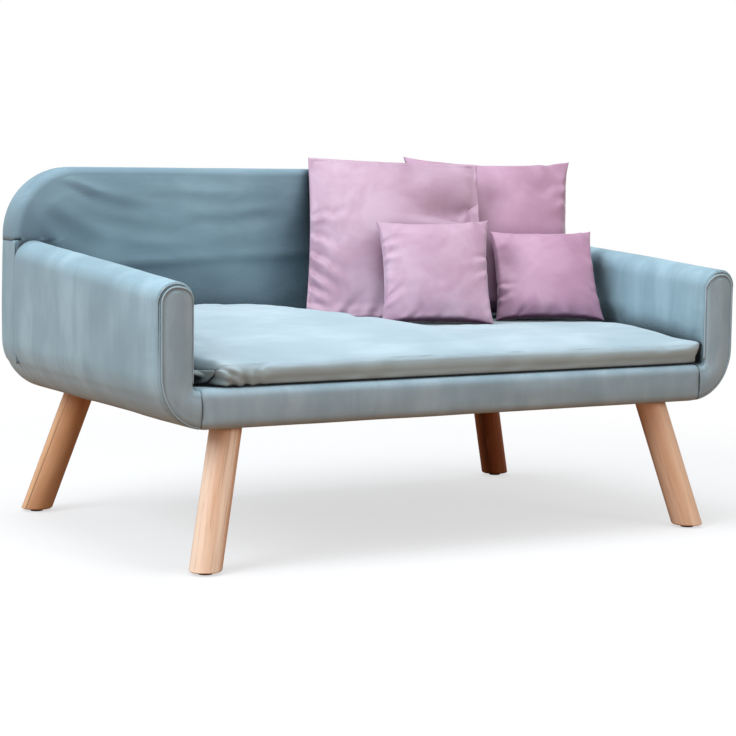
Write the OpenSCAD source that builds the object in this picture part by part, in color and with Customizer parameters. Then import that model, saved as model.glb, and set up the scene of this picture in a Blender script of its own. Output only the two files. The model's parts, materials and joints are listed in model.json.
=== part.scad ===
// Dog sofa bed: a padded tub on four splayed legs, with a loose seat cushion and four scatter cushions.
// X runs across the front, Y from the front to the rear, Z up from the floor. Lengths are in millimetres.

/* [Body] */
// Width across the two arms
sofa_w = 1000; // [900:10:1100]
// Depth from the front of the arms to the rear of the back
sofa_d = 600; // [540:10:660]
// Height of the underside above the floor
under_h = 200; // [170:5:215]
// Height of the arms' front end above the seat platform
arm_front_rise = 149; // [130:1:165]
// Height of the arms' rear end above the seat platform
arm_rear_rise = 186; // [170:1:205]
// Height of the back above the seat platform
back_rise = 296; // [285:1:340]
// Thickness of each arm
arm_t = 58; // [54:1:66]
// Thickness of the back
back_t = 65; // [60:1:80]
// Radius of the lower corners, seen from the front
low_r = 81; // [80:1:96]
// Radius of the upper corners of the back
back_r = 107; // [80:1:108]
// Rounding along the padded edges
edge_r = 12; // [8:1:14]

/* [Frame] */
// Width of the base rails
rail_w = 22; // [18:1:28]
// Height of the base rails
rail_h = 38; // [34:1:44]
// Thickness of the arm panels
arm_panel_t = 12; // [9:1:15]
// Thickness of the board in the back
back_board_t = 15; // [12:1:18]
// Thickness of the platform board
deck_board_t = 6; // [5:1:9]
// Thickness of each corner rib
rib_t = 15; // [12:1:18]
// Width of a rib where it stands against its arm panel
rib_strip_w = 14; // [12:1:16]
// Height of the ribs above the seat platform
rib_rise = 73; // [64:1:90]
// Height of the arm panels' lower edge above the seat platform
panel_lift = 5; // [2:1:12]
// Width of the cross slats
slat_w = 60; // [40:1:80]
// Thickness of the cross slats
slat_t = 18; // [12:1:22]
// Number of cross slats
slat_count = 3; // [2:1:4]
// Length and width of the corner blocks
block_w = 60; // [54:1:70]

/* [Padding and covers] */
// Thickness of the velvet with its backing
cover_t = 2; // [1.5:0.1:2.5]
// Thickness of the padding on the platform
deck_pad_t = 9; // [7:1:10]
// Thickness of the padding in front of the front rail
rail_pad_t = 13; // [11:1:16]
// Thickness of the padding outside the corner ribs
rib_pad_t = 8; // [6:1:10]
// Thickness of the padding over the arm panels' top edges
panel_pad_t = 20; // [16:1:24]
// Thickness of the padding round the edge of the back board
board_pad_t = 28; // [22:1:34]
// Thickness of the wadding behind the back board
wadding_t = 3; // [2:0.5:5]
// Inset of the seam round each arm's front panel
seam_in = 8; // [7:0.5:10]
// How far a front panel runs past the arm's inner face along the rail
seam_out = 9; // [6:1:14]
// Width of the welt in that seam
welt_w = 3; // [2:0.5:4]
// How far the welt stands out of the seam
welt_proud = 1.5; // [1:0.5:2]
// How far the covers are turned in under the base
turn_in = 17; // [12:1:20]
// Thickness of the dust cover under the base
dust_t = 1; // [0.6:0.2:1.4]

/* [Legs] */
// Diameter of the legs
leg_d = 46; // [40:1:50]
// Distance of the middle of each front leg's top from the sofa's side
leg_in_x = 128; // [120:1:150]
// Distance of the middle of each leg's top from the sofa's front or rear
leg_in_y = 48; // [47:1:65]
// How far a front foot stands out sideways from the top of its leg
splay_x = 50; // [20:1:60]
// How much further out than the front legs' tops the rear legs' tops are
rear_leg_out = 12; // [0:1:12]
// How much more than the front legs the rear legs lean sideways, measured at the foot
rear_splay_more = 10; // [0:1:12]
// How far a foot stands out to the front or rear from the top of its leg
splay_y = 40; // [20:1:45]
// Diameter of the glides
glide_d = 20; // [16:1:26]
// Thickness of the glides
glide_t = 4; // [2:1:5]
// Diameter of the glides' nails
glide_nail_d = 2.4; // [2:0.2:3]
// Length of the glides' nails
glide_nail = 14; // [10:1:18]
// Diameter of the hanger bolts
bolt_d = 8; // [6:1:10]
// Length of a hanger bolt inside its leg
bolt_in_leg = 32; // [25:1:40]
// Length of a hanger bolt inside its corner block
bolt_in_block = 30; // [24:1:34]
// Wall of the threaded insert round a hanger bolt
insert_wall = 2; // [1.5:0.5:3]
// Length of the threaded insert
insert_len = 15; // [12:1:20]

/* [Seat cushion] */
// Gap between the seat cushion and the arms and back round it
seat_gap = 4; // [2:0.5:8]
// Distance of the seat cushion's front from the front of the sofa
seat_set_back = 15; // [14:1:30]
// Thickness of the seat cushion in the middle
seat_t = 52; // [40:1:70]
// Extra height of the plump part beside the scatter cushions
seat_crown = 30; // [10:1:40]
// Height of the side seam above the platform
seat_rim = 14; // [12:1:18]
// How far the underside draws in from the side seam
seat_tuck = 8; // [5:1:12]
// Distance of the hollow's edge from the middle of the left large cushion, sideways
hollow_side = 218; // [200:1:240]
// Distance from the back at which that holds
hollow_front = 113; // [80:1:150]
// Direction of the hollow's edge
hollow_turn = 33; // [20:1:45]
// Width over which the cushion rises beside the hollow
hollow_slope = 75; // [60:1:110]

/* [Scatter cushions] */
// Side of the large scatter cushions
large_s = 290; // [260:1:300]
// Thickness of the large scatter cushions
large_t = 72; // [56:1:76]
// Side of the small scatter cushions
small_s = 178; // [160:1:186]
// Thickness of the small scatter cushions
small_t = 52; // [40:1:56]
// Share of its height that the slumped small cushion on the right keeps
slump_share = 0.9; // [0.85:0.01:1]
// Wall of a cushion cover with its lining
case_t = 3; // [2:0.5:4]
// Turn of the left pair
left_turn = 25.5; // [15:0.5:30]
// Lean of the left pair
left_lean = 25.5; // [15:0.5:30]
// How far the left small cushion sits beside the middle of the large one
left_shift = 56; // [20:1:60]
// Distance of the right large cushion's middle from the right arm
right_in = 131; // [128:1:145]
// Distance between the middles of the two large cushions
pair_pitch = 188; // [184:1:220]
// Turn of the right pair
right_turn = 23.5; // [15:0.5:26]
// Lean of the right pair
right_lean = 27; // [15:0.5:30]
// How far the right small cushion sits beside the middle of the large one
right_shift = 75; // [60:1:76]

/* [Fits] */
// Gap between the padding and its cover
fit_gap = 0.2; // [0.1:0.1:0.4]
// Gap between soft pieces that can be lifted off
lay_gap = 0.4; // [0.3:0.1:1]
// Gap round a screw or bolt in its hole
hole_gap = 0.05; // [0.02:0.01:0.1]

/* [Fasteners] */
// Diameter of the wood screws
screw_d = 4; // [3:0.5:5]
// Diameter of the screw heads
head_d = 8; // [7:0.5:9]
// Height of the screw heads
head_h = 2.5; // [2:0.5:3]
// Length of the screws through the platform board
deck_screw = 28; // [20:1:32]
// Length of the screws through the back board
back_screw = 32; // [26:1:35]
// Length of the screws through the ribs
rib_screw = 23; // [20:1:24]
// Length of a staple's crown
staple_w = 10; // [8:1:12]
// Thickness of a staple's wire
staple_t = 0.8; // [0.6:0.1:1]
// Length of a staple's legs
staple_leg = 8; // [6:1:12]
// Distance between the staples
staple_pitch = 75; // [50:5:100]

/* [Hidden] */
$fn = 64;

velvet = "#8FA9B4";
velvet_pale = "#C2DAE3";
mauve = "#CBA3BF";
foam = "#EFE3B8";
pine = "#E3BD93";
ply = "#CFA878";
steel = "#A9AEB2";
black = "#2A2A2C";

// Overrun of every cut past the surface that it opens
cut = 5;

// The body's planes
side_x = sofa_w / 2;
front_y = -sofa_d / 2;
rear_y = sofa_d / 2;
arm_x = side_x - arm_t;
seam_x = arm_x - seam_out;
back_y = rear_y - back_t;
rail_bottom = under_h + cover_t;
rail_top = rail_bottom + rail_h;
board_top = rail_top + deck_board_t;
deck_h = board_top + deck_pad_t + cover_t;
arm_front_h = deck_h + arm_front_rise;
arm_rear_h = deck_h + arm_rear_rise;
back_h = deck_h + back_rise;
front_rail_y = front_y + cover_t + rail_pad_t;
board_rear_y = rear_y - cover_t - wadding_t;
board_front_y = board_rear_y - back_board_t;
rear_rail_y = board_front_y - rail_w;
rail_x = side_x - low_r;
turn_x = rail_x - turn_in;
arm_slope = atan((arm_rear_h - arm_front_h) / sofa_d);
side_seam_h = arm_front_h + (back_y - front_y) * tan(arm_slope) + fit_gap;

// Half of an outline with rounded corners: x is the distance from the middle, y runs from the front to the rear
module half_edge(reach, y0, y1, e0, e1) {
    translate([0, y0 + e0])
        square([reach, y1 - e1 - y0 - e0]);
    translate([0, y0])
        square([reach - e0, y1 - e1 - y0]);
    translate([0, y0 + e0])
        square([reach - e1, y1 - y0 - e0]);
    if (e0 > 0)
        translate([reach - e0, y0 + e0])
            circle(r = e0);
    if (e1 > 0)
        translate([reach - e1, y1 - e1])
            circle(r = e1);
}

// An upright slab, symmetrical about X = 0, with round corners and rounded front and rear edges.
// A top radius of zero leaves the top square.
module soft_slab(half_w, z0, z1, rb, rt, y0, y1, e0, e1) {
    for (side = [0, 1])
        mirror([side, 0, 0])
            translate([0, 0, z0 + rb])
                linear_extrude(z1 - rt - z0 - rb)
                    half_edge(half_w, y0, y1, e0, e1);
    translate([rb - half_w, 0, z0 + rb])
        rotate([0, 90, 0])
            linear_extrude(2 * (half_w - rb))
                half_edge(rb, y0, y1, e0, e1);
    for (s = [-1, 1])
        translate([s * (half_w - rb), 0, z0 + rb])
            rotate([-90, 0, 0])
                rotate_extrude()
                    half_edge(rb, y0, y1, e0, e1);
    if (rt > 0) {
        translate([half_w - rt, 0, z1 - rt])
            rotate([0, -90, 0])
                linear_extrude(2 * (half_w - rt))
                    half_edge(rt, y0, y1, e0, e1);
        for (s = [-1, 1])
            translate([s * (half_w - rt), 0, z1 - rt])
                rotate([-90, 0, 0])
                    rotate_extrude()
                        half_edge(rt, y0, y1, e0, e1);
    }
}

// The U-shaped tub as one solid up to the top of the back, inset by i
module tub(i) {
    soft_slab(side_x - i, under_h + i, back_h, low_r - i, 0, front_y + i, rear_y, edge_r - i, 0);
}

// The same outline without rounded edges, from y0 to y1, inset by i
module tub_block(i, y0, y1) {
    soft_slab(side_x - i, under_h + i, back_h, low_r - i, 0, y0, y1, 0, 0);
}

// The outline of the back from y0 to y1, inset by i
module back_block(i, y0, y1) {
    soft_slab(side_x - i, under_h + i, back_h - i, low_r - i, back_r - i, y0, y1, 0, 0);
}

// Everything above, or below, a height
module above(z) {
    translate([-sofa_w, -sofa_d, z])
        cube([2 * sofa_w, 2 * sofa_d, back_h]);
}
module below(z) {
    translate([-sofa_w, -sofa_d, z - back_h])
        cube([2 * sofa_w, 2 * sofa_d, back_h]);
}

// A box from one corner to the opposite one
module span(a, b) {
    translate(a)
        cube(b - a);
}

// A column with a half-round top that follows the slope of the left arm, inset by i
module arm_column(i) {
    r = arm_t / 2;
    translate([-side_x + r, front_y, arm_front_h - r / cos(arm_slope)])
        rotate([90 + arm_slope, 0, 0])
            translate([0, 0, -2 * sofa_d])
                linear_extrude(3 * sofa_d) {
                    circle(r = r - i);
                    translate([i - r, -arm_front_h])
                        square([2 * (r - i), arm_front_h]);
                }
}

// Plan of the left arm with its rounded inner front corner, inset by i
module arm_plan(i, y1) {
    outer = -side_x - cut;
    inner = -arm_x - edge_r;
    translate([outer, front_y + edge_r])
        square([-arm_x - i - outer, y1 - front_y - edge_r]);
    translate([outer, front_y + i])
        square([inner - outer, y1 - front_y - i]);
    translate([inner, front_y + edge_r])
        circle(r = edge_r - i);
}

// The low block of the tub from x0 to x1 with a rounded upper front edge, inset by i
module low_block(i, x0, x1, y1) {
    translate([x0, 0, 0])
        rotate([90, 0, 90])
            linear_extrude(x1 - x0) {
                translate([front_y + edge_r, under_h])
                    square([y1 - front_y - edge_r, deck_h - i - under_h]);
                translate([front_y + i, under_h])
                    square([y1 - front_y - i, deck_h - edge_r - under_h]);
                translate([front_y + edge_r, deck_h - edge_r])
                    circle(r = edge_r - i);
            }
}

// The left arm with the lower corner below it, which ends at a distance reach from the middle.
// It is inset by i and lengthened by more past its open ends.
module arm_form(i, more = 0, reach = seam_x) {
    intersection() {
        tub(i);
        union() {
            intersection() {
                arm_column(i);
                linear_extrude(back_h)
                    arm_plan(i, back_y + more);
            }
            low_block(i, -side_x - cut, more - reach, back_y + more);
        }
    }
}

// The front rail's padded form between two such arms, inset by i and lengthened by more past its open ends
module rail_form(i, more = 0, reach = seam_x) {
    intersection() {
        tub(i);
        low_block(i, -reach - more, reach + more, front_rail_y + rail_w + more);
    }
}

// The back, inset by i: its front edge is square beside the arms and rounded above them
module back_form(i) {
    intersection() {
        soft_slab(side_x - i, under_h + i, back_h - i, low_r - i, back_r - i,
            back_y + i, rear_y - i, edge_r - i, edge_r - i);
        above(side_seam_h);
    }
    intersection() {
        soft_slab(side_x - i, under_h + i, back_h - i, low_r - i, back_r - i,
            back_y + i, rear_y - i, 0, edge_r - i);
        below(side_seam_h);
    }
}

module back_shell() {
    difference() {
        back_form(0);
        back_form(cover_t);
    }
}

// The part of the back's cover that the rear panel takes up, with its edge turned in under the base
module rear_panel_zone() {
    back_block(edge_r, rear_y - cover_t - fit_gap, rear_y + cut);
    span([-turn_x, board_front_y - turn_in, under_h - cut], [turn_x, rear_y + cut, under_h + edge_r]);
}

// The lower part of the back's left side, inset by i and lengthened by more past its open ends
module back_side_form(i, more = 0) {
    intersection() {
        soft_slab(side_x - i, under_h + i, back_h, low_r - i, 0, back_y - more, rear_y - i, 0, edge_r - i);
        span([-side_x, back_y - more, under_h], [more - turn_x, rear_y, side_seam_h + more]);
    }
}

// The front panel's outline on the left arm, inset by i, through the rounded front edge
module facing_zone(i) {
    intersection() {
        tub_block(i, front_y - cut, front_y + edge_r);
        union() {
            intersection() {
                arm_column(i);
                span([-side_x, front_y - cut, under_h - cut], [-arm_x - i, front_y + edge_r, back_h]);
            }
            span([-side_x, front_y - cut, under_h - cut], [-seam_x + cut, front_y + edge_r, deck_h + cut - i]);
        }
    }
}

module left_or_right(right) {
    mirror([right ? 1 : 0, 0, 0])
        children();
}

// Fasteners: a screw lies along Z with its head's face at Z = 0 and its point below
module screw(length, gap = 0) {
    translate([0, 0, -length])
        cylinder(d = screw_d + 2 * gap, h = length);
    translate([0, 0, -head_h])
        cylinder(d = head_d + 2 * gap, h = head_h + (gap > 0 ? cut : 0));
}

rib_y_list = [front_rail_y, -rib_t / 2, rear_rail_y - rib_t];
rib_screw_z_list = [under_h + low_r + head_d, deck_h + rib_rise - head_d];
rib_out_x = side_x - cover_t - rib_pad_t;
panel_out_x = rib_out_x - rib_strip_w;

module rib_screw_set(gap = 0) {
    for (y = rib_y_list, z = rib_screw_z_list)
        translate([-rib_out_x, y + rib_t / 2, z])
            rotate([0, -90, 0])
                screw(rib_screw, gap);
}

deck_screw_shares = [-0.75, -0.25, 0.25, 0.75];
deck_screw_y_list = [front_rail_y + rail_w / 2, rear_rail_y + rail_w / 2];
module deck_screw_set(gap = 0) {
    for (share = deck_screw_shares, y = deck_screw_y_list)
        translate([share * rail_x, y, board_top])
            screw(deck_screw, gap);
}

back_screw_z = (under_h + edge_r + rail_top) / 2;
back_screw_shares = [-0.66, -0.33, 0.33, 0.66];
module back_screw_set(gap = 0) {
    for (share = back_screw_shares)
        translate([share * rail_x, board_rear_y, back_screw_z])
            rotate([-90, 0, 0])
                screw(back_screw, gap);
}

// Frame of pine rails and boards
module rail_box(x0, x1, y0, y1) {
    span([x0, y0, rail_bottom], [x1, y1, rail_top]);
}

module base_front_rail() {
    color(pine)
        difference() {
            rail_box(-rail_x, rail_x, front_rail_y, front_rail_y + rail_w);
            deck_screw_set(hole_gap);
        }
}

module base_rear_rail() {
    color(pine)
        difference() {
            rail_box(-rail_x, rail_x, rear_rail_y, board_front_y);
            deck_screw_set(hole_gap);
            back_screw_set(hole_gap);
        }
}

module base_side_rail(right) {
    color(pine)
        left_or_right(right)
            rail_box(-rail_x, rail_w - rail_x, front_rail_y + rail_w, rear_rail_y);
}

module cross_slats() {
    room = rear_rail_y - front_rail_y - rail_w;
    color(pine)
        for (k = [1:slat_count])
            translate([rail_w - rail_x, front_rail_y + rail_w + k * room / (slat_count + 1) - slat_w / 2,
                rail_top - slat_t])
                cube([2 * (rail_x - rail_w), slat_w, slat_t]);
}

module corner_blocks() {
    color(pine)
        difference() {
            for (s = [0, 1])
                left_or_right(s == 1) {
                    x0 = rail_w - rail_x;
                    rail_box(x0, x0 + block_w, front_rail_y + rail_w, front_rail_y + rail_w + block_w);
                    rail_box(x0, x0 + block_w, rear_rail_y - block_w, rear_rail_y);
                }
            at_each_leg() {
                leg_rod(bolt_d / 2 + insert_wall + hole_gap, 0, (insert_len + dust_t) / cos(leg_tilt()) + cut, cut);
                leg_rod(bolt_d / 2 + hole_gap, 0, bolt_in_block + cut, cut);
            }
        }
}

module deck_board_solid() {
    span([-arm_x, front_rail_y, rail_top], [arm_x, board_front_y, board_top]);
}

module deck_board() {
    color(ply)
        difference() {
            deck_board_solid();
            deck_screw_set(hole_gap);
        }
}

// One shaped plate that carries the lower corner of the tub
module rib_shape(y) {
    inner_x = -rail_x;
    z_low = rail_bottom + rib_pad_t;
    intersection() {
        tub_block(cover_t + rib_pad_t, y, y + rib_t);
        union() {
            span([-rib_out_x, y, z_low], [-panel_out_x, y + rib_t, deck_h + rib_rise]);
            span([-rib_out_x, y, z_low], [-arm_x - cover_t - fit_gap, y + rib_t, deck_h + panel_lift]);
            span([-rib_out_x, y, z_low], [inner_x, y + rib_t, rail_top]);
        }
    }
}

module corner_ribs(right) {
    color(ply)
        left_or_right(right)
            difference() {
                for (y = rib_y_list)
                    rib_shape(y);
                rib_screw_set(hole_gap);
            }
}

module arm_panel_solid() {
    z_low = deck_h + panel_lift;
    rise = tan(arm_slope);
    top_front = arm_front_h - panel_pad_t + (front_rail_y - front_y) * rise;
    top_rear = arm_front_h - panel_pad_t + (board_front_y - front_y) * rise;
    translate([-panel_out_x, 0, 0])
        rotate([90, 0, 90])
            linear_extrude(arm_panel_t)
                polygon([
                    [front_rail_y, z_low],
                    [board_front_y, z_low],
                    [board_front_y, top_rear],
                    [front_rail_y, top_front]
                ]);
}

module arm_panel(right) {
    color(ply)
        left_or_right(right)
            difference() {
                arm_panel_solid();
                rib_screw_set(hole_gap);
            }
}

module back_board_solid() {
    back_block(board_pad_t, board_front_y, board_rear_y);
    span([-rail_x, board_front_y, under_h + edge_r], [rail_x, board_rear_y, under_h + low_r]);
}

module back_board() {
    color(ply)
        difference() {
            back_board_solid();
            back_screw_set(hole_gap);
        }
}

module rib_screws() {
    color(steel)
        for (s = [0, 1])
            left_or_right(s == 1)
                rib_screw_set();
}

module deck_screws() {
    color(steel)
        deck_screw_set();
}

module back_board_screws() {
    color(steel)
        back_screw_set();
}

// Space that the wooden frame takes up in the padding of one side
module frame_space() {
    arm_panel_solid();
    for (y = rib_y_list)
        rib_shape(y);
    rail_box(-rail_x, rail_x, front_rail_y, front_rail_y + rail_w);
    rail_box(-rail_x, rail_x, rear_rail_y, board_front_y);
    deck_board_solid();
}

pad_inset = cover_t + fit_gap;
foam_split_h = deck_h - pad_inset;

module arm_foam(right) {
    color(foam)
        left_or_right(right)
            difference() {
                intersection() {
                    arm_form(pad_inset);
                    above(foam_split_h);
                }
                frame_space();
            }
}

module corner_foam(right) {
    color(foam)
        left_or_right(right)
            difference() {
                intersection() {
                    arm_form(pad_inset, 0, rail_x);
                    below(foam_split_h);
                }
                frame_space();
                deck_foam_solid();
            }
}

module back_foam() {
    color(foam)
        difference() {
            back_form(pad_inset);
            back_board_solid();
            span([-rail_x, back_y, under_h], [rail_x, board_front_y, board_top]);
            for (s = [0, 1])
                left_or_right(s == 1)
                    frame_space();
        }
}

module rail_foam() {
    color(foam)
        difference() {
            rail_form(pad_inset, 0, rail_x);
            rail_box(-rail_x, rail_x, front_rail_y, front_rail_y + rail_w);
            deck_board_solid();
        }
}

module deck_foam_solid() {
    span([-arm_x, front_rail_y + rail_w, board_top], [arm_x, back_y, deck_h - cover_t]);
}

module deck_foam() {
    color(foam)
        deck_foam_solid();
}

// Velvet covers
module arm_cover_solid() {
    difference() {
        arm_form(0);
        arm_form(cover_t, cut);
        facing_zone(seam_in - welt_w / 2);
    }
    intersection() {
        difference() {
            tub(0);
            tub(cover_t);
        }
        span([-seam_x, front_rail_y + rail_w, under_h - cut], [-turn_x, back_y, under_h + low_r / 2]);
    }
    difference() {
        back_side_form(0);
        back_side_form(cover_t, cut);
        rear_panel_zone();
    }
}

module arm_cover(right) {
    color(velvet)
        left_or_right(right)
            arm_cover_solid();
}

module arm_facing(right) {
    color(velvet)
        left_or_right(right)
            intersection() {
                difference() {
                    arm_form(0);
                    arm_form(cover_t, cut);
                }
                facing_zone(seam_in + welt_w / 2);
            }
}

module arm_welt(right) {
    color(velvet)
        left_or_right(right)
            intersection() {
                difference() {
                    facing_zone(seam_in - welt_w / 2);
                    facing_zone(seam_in + welt_w / 2);
                }
                span([-side_x, front_y - welt_proud, under_h], [-seam_x, front_y + cover_t, back_h]);
            }
}

module rail_cover() {
    color(velvet)
        difference() {
            rail_form(0);
            rail_form(cover_t, cut);
        }
}

module deck_cover() {
    color(velvet)
        span([-seam_x, front_rail_y + rail_w, deck_h - cover_t], [seam_x, back_y, deck_h]);
}

module back_cover() {
    color(velvet)
        difference() {
            back_shell();
            rear_panel_zone();
            difference() {
                below(side_seam_h);
                intersection() {
                    tub_block(cover_t, back_y - cut, back_y + cover_t + fit_gap);
                    above(board_top);
                }
            }
            for (s = [0, 1])
                left_or_right(s == 1)
                    arm_panel_solid();
        }
}

// Section of the rear panel's lower edge, turned in under the base, inset by i and lengthened by more
module turned_edge(i, more = 0) {
    y0 = board_front_y - turn_in - more;
    translate([y0, under_h + i])
        square([rear_y - edge_r - y0, edge_r - i + more]);
    translate([rear_y - edge_r, under_h + edge_r])
        circle(r = edge_r - i);
    if (more > 0)
        translate([rear_y - edge_r, under_h + edge_r])
            square([edge_r - i, edge_r + more]);
}

module outer_back_cover() {
    color(velvet) {
        back_block(edge_r, rear_y - cover_t, rear_y);
        translate([-turn_x, 0, 0])
            rotate([90, 0, 90])
                linear_extrude(2 * turn_x)
                    difference() {
                        turned_edge(0);
                        turned_edge(cover_t, cut);
                        translate([0, under_h + edge_r])
                            square([sofa_d, back_h]);
                    }
    }
}

dust_x = rail_x - cover_t;
dust_front_y = front_y + 2 * edge_r;
module dust_cover() {
    color(black)
        difference() {
            span([-dust_x, dust_front_y, under_h - dust_t], [dust_x, -dust_front_y, under_h]);
            at_each_leg()
                leg_rod(bolt_d / 2 + hole_gap, 0, 2 * cut, cut);
        }
}

// A staple: its crown lies under the dust cover and its legs go up into a rail
module staple(along_y) {
    z = under_h - dust_t - staple_t;
    rotate([0, 0, along_y ? 90 : 0])
        translate([-staple_w / 2, -staple_t / 2, z]) {
            cube([staple_w, staple_t, staple_t]);
            cube([staple_t, staple_t, staple_t + staple_leg]);
            translate([staple_w - staple_t, 0, 0])
                cube([staple_t, staple_t, staple_t + staple_leg]);
        }
}

// Staples run along the dust cover's edges, clear of the legs
module staples() {
    row_x = dust_x - staple_w / 2;
    row_y = -dust_front_y - staple_w / 2;
    nx = floor((side_x - leg_in_x - leg_d) / staple_pitch);
    ny = floor((leg_y - leg_d) / staple_pitch);
    color(steel) {
        for (s = [-1, 1], k = [-nx:nx])
            translate([k * staple_pitch, s * row_y, 0])
                staple(false);
        for (s = [-1, 1], k = [-ny:ny])
            translate([s * row_x, k * staple_pitch, 0])
                staple(true);
    }
}

// Legs: the axis of the front right one runs from its foot up to the middle of its top face
leg_y = rear_y - leg_in_y;
leg_top = under_h - dust_t;
function leg_x() = side_x - leg_in_x + ($rear ? rear_leg_out : 0);
function foot_out_x() = splay_x + ($rear ? rear_splay_more : 0);
function leg_tilt() = atan(norm([foot_out_x(), splay_y]) / leg_top);

module at_each_leg() {
    for (left = [0, 1], $rear = [0, 1])
        mirror([left, 0, 0])
            mirror([0, $rear, 0])
                children();
}

// A round rod on the leg's axis, from below to above a leg's top face
module leg_rod(r, from, up, down) {
    translate([leg_x(), -leg_y, leg_top])
        rotate([0, -leg_tilt(), atan2(-splay_y, foot_out_x())])
            translate([0, 0, from - down])
                cylinder(r = r, h = up + down);
}

module leg_solid() {
    length = leg_top / cos(leg_tilt());
    difference() {
        intersection() {
            leg_rod(leg_d / 2, 0, leg_d, length + leg_d);
            span([0, -sofa_d, glide_t], [sofa_w, 0, leg_top]);
        }
        leg_rod(bolt_d / 2 + hole_gap, 0, cut, bolt_in_leg + hole_gap);
        translate([leg_x() + foot_out_x(), -leg_y - splay_y, 0])
            cylinder(d = glide_nail_d + 2 * hole_gap, h = glide_t + glide_nail + hole_gap);
    }
}

module leg(right, rear) {
    $rear = rear ? 1 : 0;
    color(pine)
        mirror([right ? 0 : 1, 0, 0])
            mirror([0, $rear, 0])
                leg_solid();
}

module hanger_bolts() {
    color(steel)
        at_each_leg()
            leg_rod(bolt_d / 2, 0, bolt_in_block, bolt_in_leg);
}

module threaded_inserts() {
    color(steel)
        at_each_leg()
            intersection() {
                difference() {
                    leg_rod(bolt_d / 2 + insert_wall, 0, insert_len, cut);
                    leg_rod(bolt_d / 2 + hole_gap, 0, insert_len + cut, 2 * cut);
                }
                span([0, -sofa_d, rail_bottom], [sofa_w, 0, rail_top]);
            }
}

module leg_glides() {
    color(black)
        at_each_leg()
            translate([leg_x() + foot_out_x(), -leg_y - splay_y, 0]) {
                cylinder(d = glide_d, h = glide_t);
                cylinder(d = glide_nail_d, h = glide_t + glide_nail);
            }
}

// Seat cushion: u and v run from -1 to 1 over the plan
seat_z = deck_h + lay_gap;
seat_w = 2 * (arm_x - seat_gap);
seat_d = back_y - seat_gap - front_y - seat_set_back;
seat_y = front_y + seat_set_back + seat_d / 2;
right_x = arm_x - right_in;
left_x = right_x - pair_pitch;
hollow_x = left_x - hollow_side;
hollow_y = back_y - hollow_front;
corner_share = 0.03;
function smooth(t) = let (c = max(0, min(1, t))) c * c * (3 - 2 * c);
function spread(k, n) = sin(90 * (2 * k / n - 1));

// Share of the full height at a point of the plan
function fullness(u, v) = pow(max(0, (1 - pow(abs(u), 16)) * (1 - pow(abs(v), 4))), 0.3);

// Share of the extra crown: none at the front edge and in the hollow under the scatter cushions
function crown_share(x, y) =
    let (away = (hollow_x - x) * cos(hollow_turn) + (hollow_y - y) * sin(hollow_turn))
    smooth((y - front_y) / (sofa_d / 2)) * smooth(away / hollow_slope);

function seat_top_point(u, v, i) =
    let (
        x = (seat_w / 2 - i) * u * (1 - corner_share * pow(v, 8)),
        y = seat_y + (seat_d / 2 - i) * v * (1 - corner_share * pow(u, 8)),
        rise = seat_t - seat_rim + seat_crown * crown_share(x, y)
    )
    [x, y, seat_z + seat_rim - i + rise * fullness(u, v)];

// Height of the seat cushion's top under a point
function seat_height(x, y) =
    let (
        v = (y - seat_y) / (seat_d / 2),
        u = x / (seat_w / 2 * (1 - corner_share * pow(min(1, abs(v)), 8)))
    )
    abs(u) >= 1 || abs(v) >= 1 ? deck_h :
        seat_z + seat_rim + (seat_t - seat_rim + seat_crown * crown_share(x, y)) * fullness(u, v);

// Steps round the edge of an nu by nv grid, anticlockwise from the corner at u = v = -1
function edge_steps(nu, nv) = concat(
    [for (k = [0:nu - 1]) [k, 0]],
    [for (k = [0:nv - 1]) [nu, k]],
    [for (k = [nu:-1:1]) [k, nv]],
    [for (k = [nv:-1:1]) [0, k]]
);

module seat_form(i, nu, nv) {
    steps = edge_steps(nu, nv);
    count = len(steps);
    base = (nu + 1) * (nv + 1);
    shrink_share = 1 - seat_tuck / (seat_d / 2);
    top = [for (a = [0:nu], b = [0:nv]) seat_top_point(spread(a, nu), spread(b, nv), i)];
    ring = [for (s = steps)
        let (p = top[s[0] * (nv + 1) + s[1]])
        [p[0] * (1 - seat_tuck / (seat_w / 2)), seat_y + (p[1] - seat_y) * shrink_share, seat_z + i]];
    at = function(a, b) a * (nv + 1) + b;
    edge = [for (s = steps) at(s[0], s[1])];
    polyhedron(
        points = concat(top, ring),
        faces = concat(
            [for (a = [0:nu - 1], b = [0:nv - 1]) [at(a, b), at(a + 1, b + 1), at(a + 1, b)]],
            [for (a = [0:nu - 1], b = [0:nv - 1]) [at(a, b), at(a, b + 1), at(a + 1, b + 1)]],
            [for (k = [0:count - 1]) let (m = (k + 1) % count) [edge[k], edge[m], base + m]],
            [for (k = [0:count - 1]) let (m = (k + 1) % count) [edge[k], base + m, base + k]],
            [[for (k = [0:count - 1]) base + k]]
        )
    );
}

seat_grid = [26, 16];
seat_fill_grid = [18, 12];
module seat_cushion_cover() {
    color(velvet_pale)
        difference() {
            seat_form(0, seat_grid[0], seat_grid[1]);
            seat_form(case_t, seat_fill_grid[0], seat_fill_grid[1]);
        }
}

module seat_cushion_fill() {
    color(foam)
        seat_form(case_t + lay_gap, seat_fill_grid[0], seat_fill_grid[1]);
}

// Scatter cushions: a side draws in between its corners, and the seam is a knife edge
draw_in_share = 0.055;
swell = 0.8;
function pad_point(u, v, size, thick, face) = [
    size / 2 * u * (1 - draw_in_share * (1 - v * v)),
    size / 2 * v * (1 - draw_in_share * (1 - u * u)),
    face * thick / 2 * pow(max(0, (1 - u * u) * (1 - v * v)), swell / 2)
];

function pad_points(size, thick, n) = concat(
    [for (a = [0:n], b = [0:n]) pad_point(spread(a, n), spread(b, n), size, thick, 1)],
    [for (a = [1:n - 1], b = [1:n - 1]) pad_point(spread(a, n), spread(b, n), size, thick, -1)]
);

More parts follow.
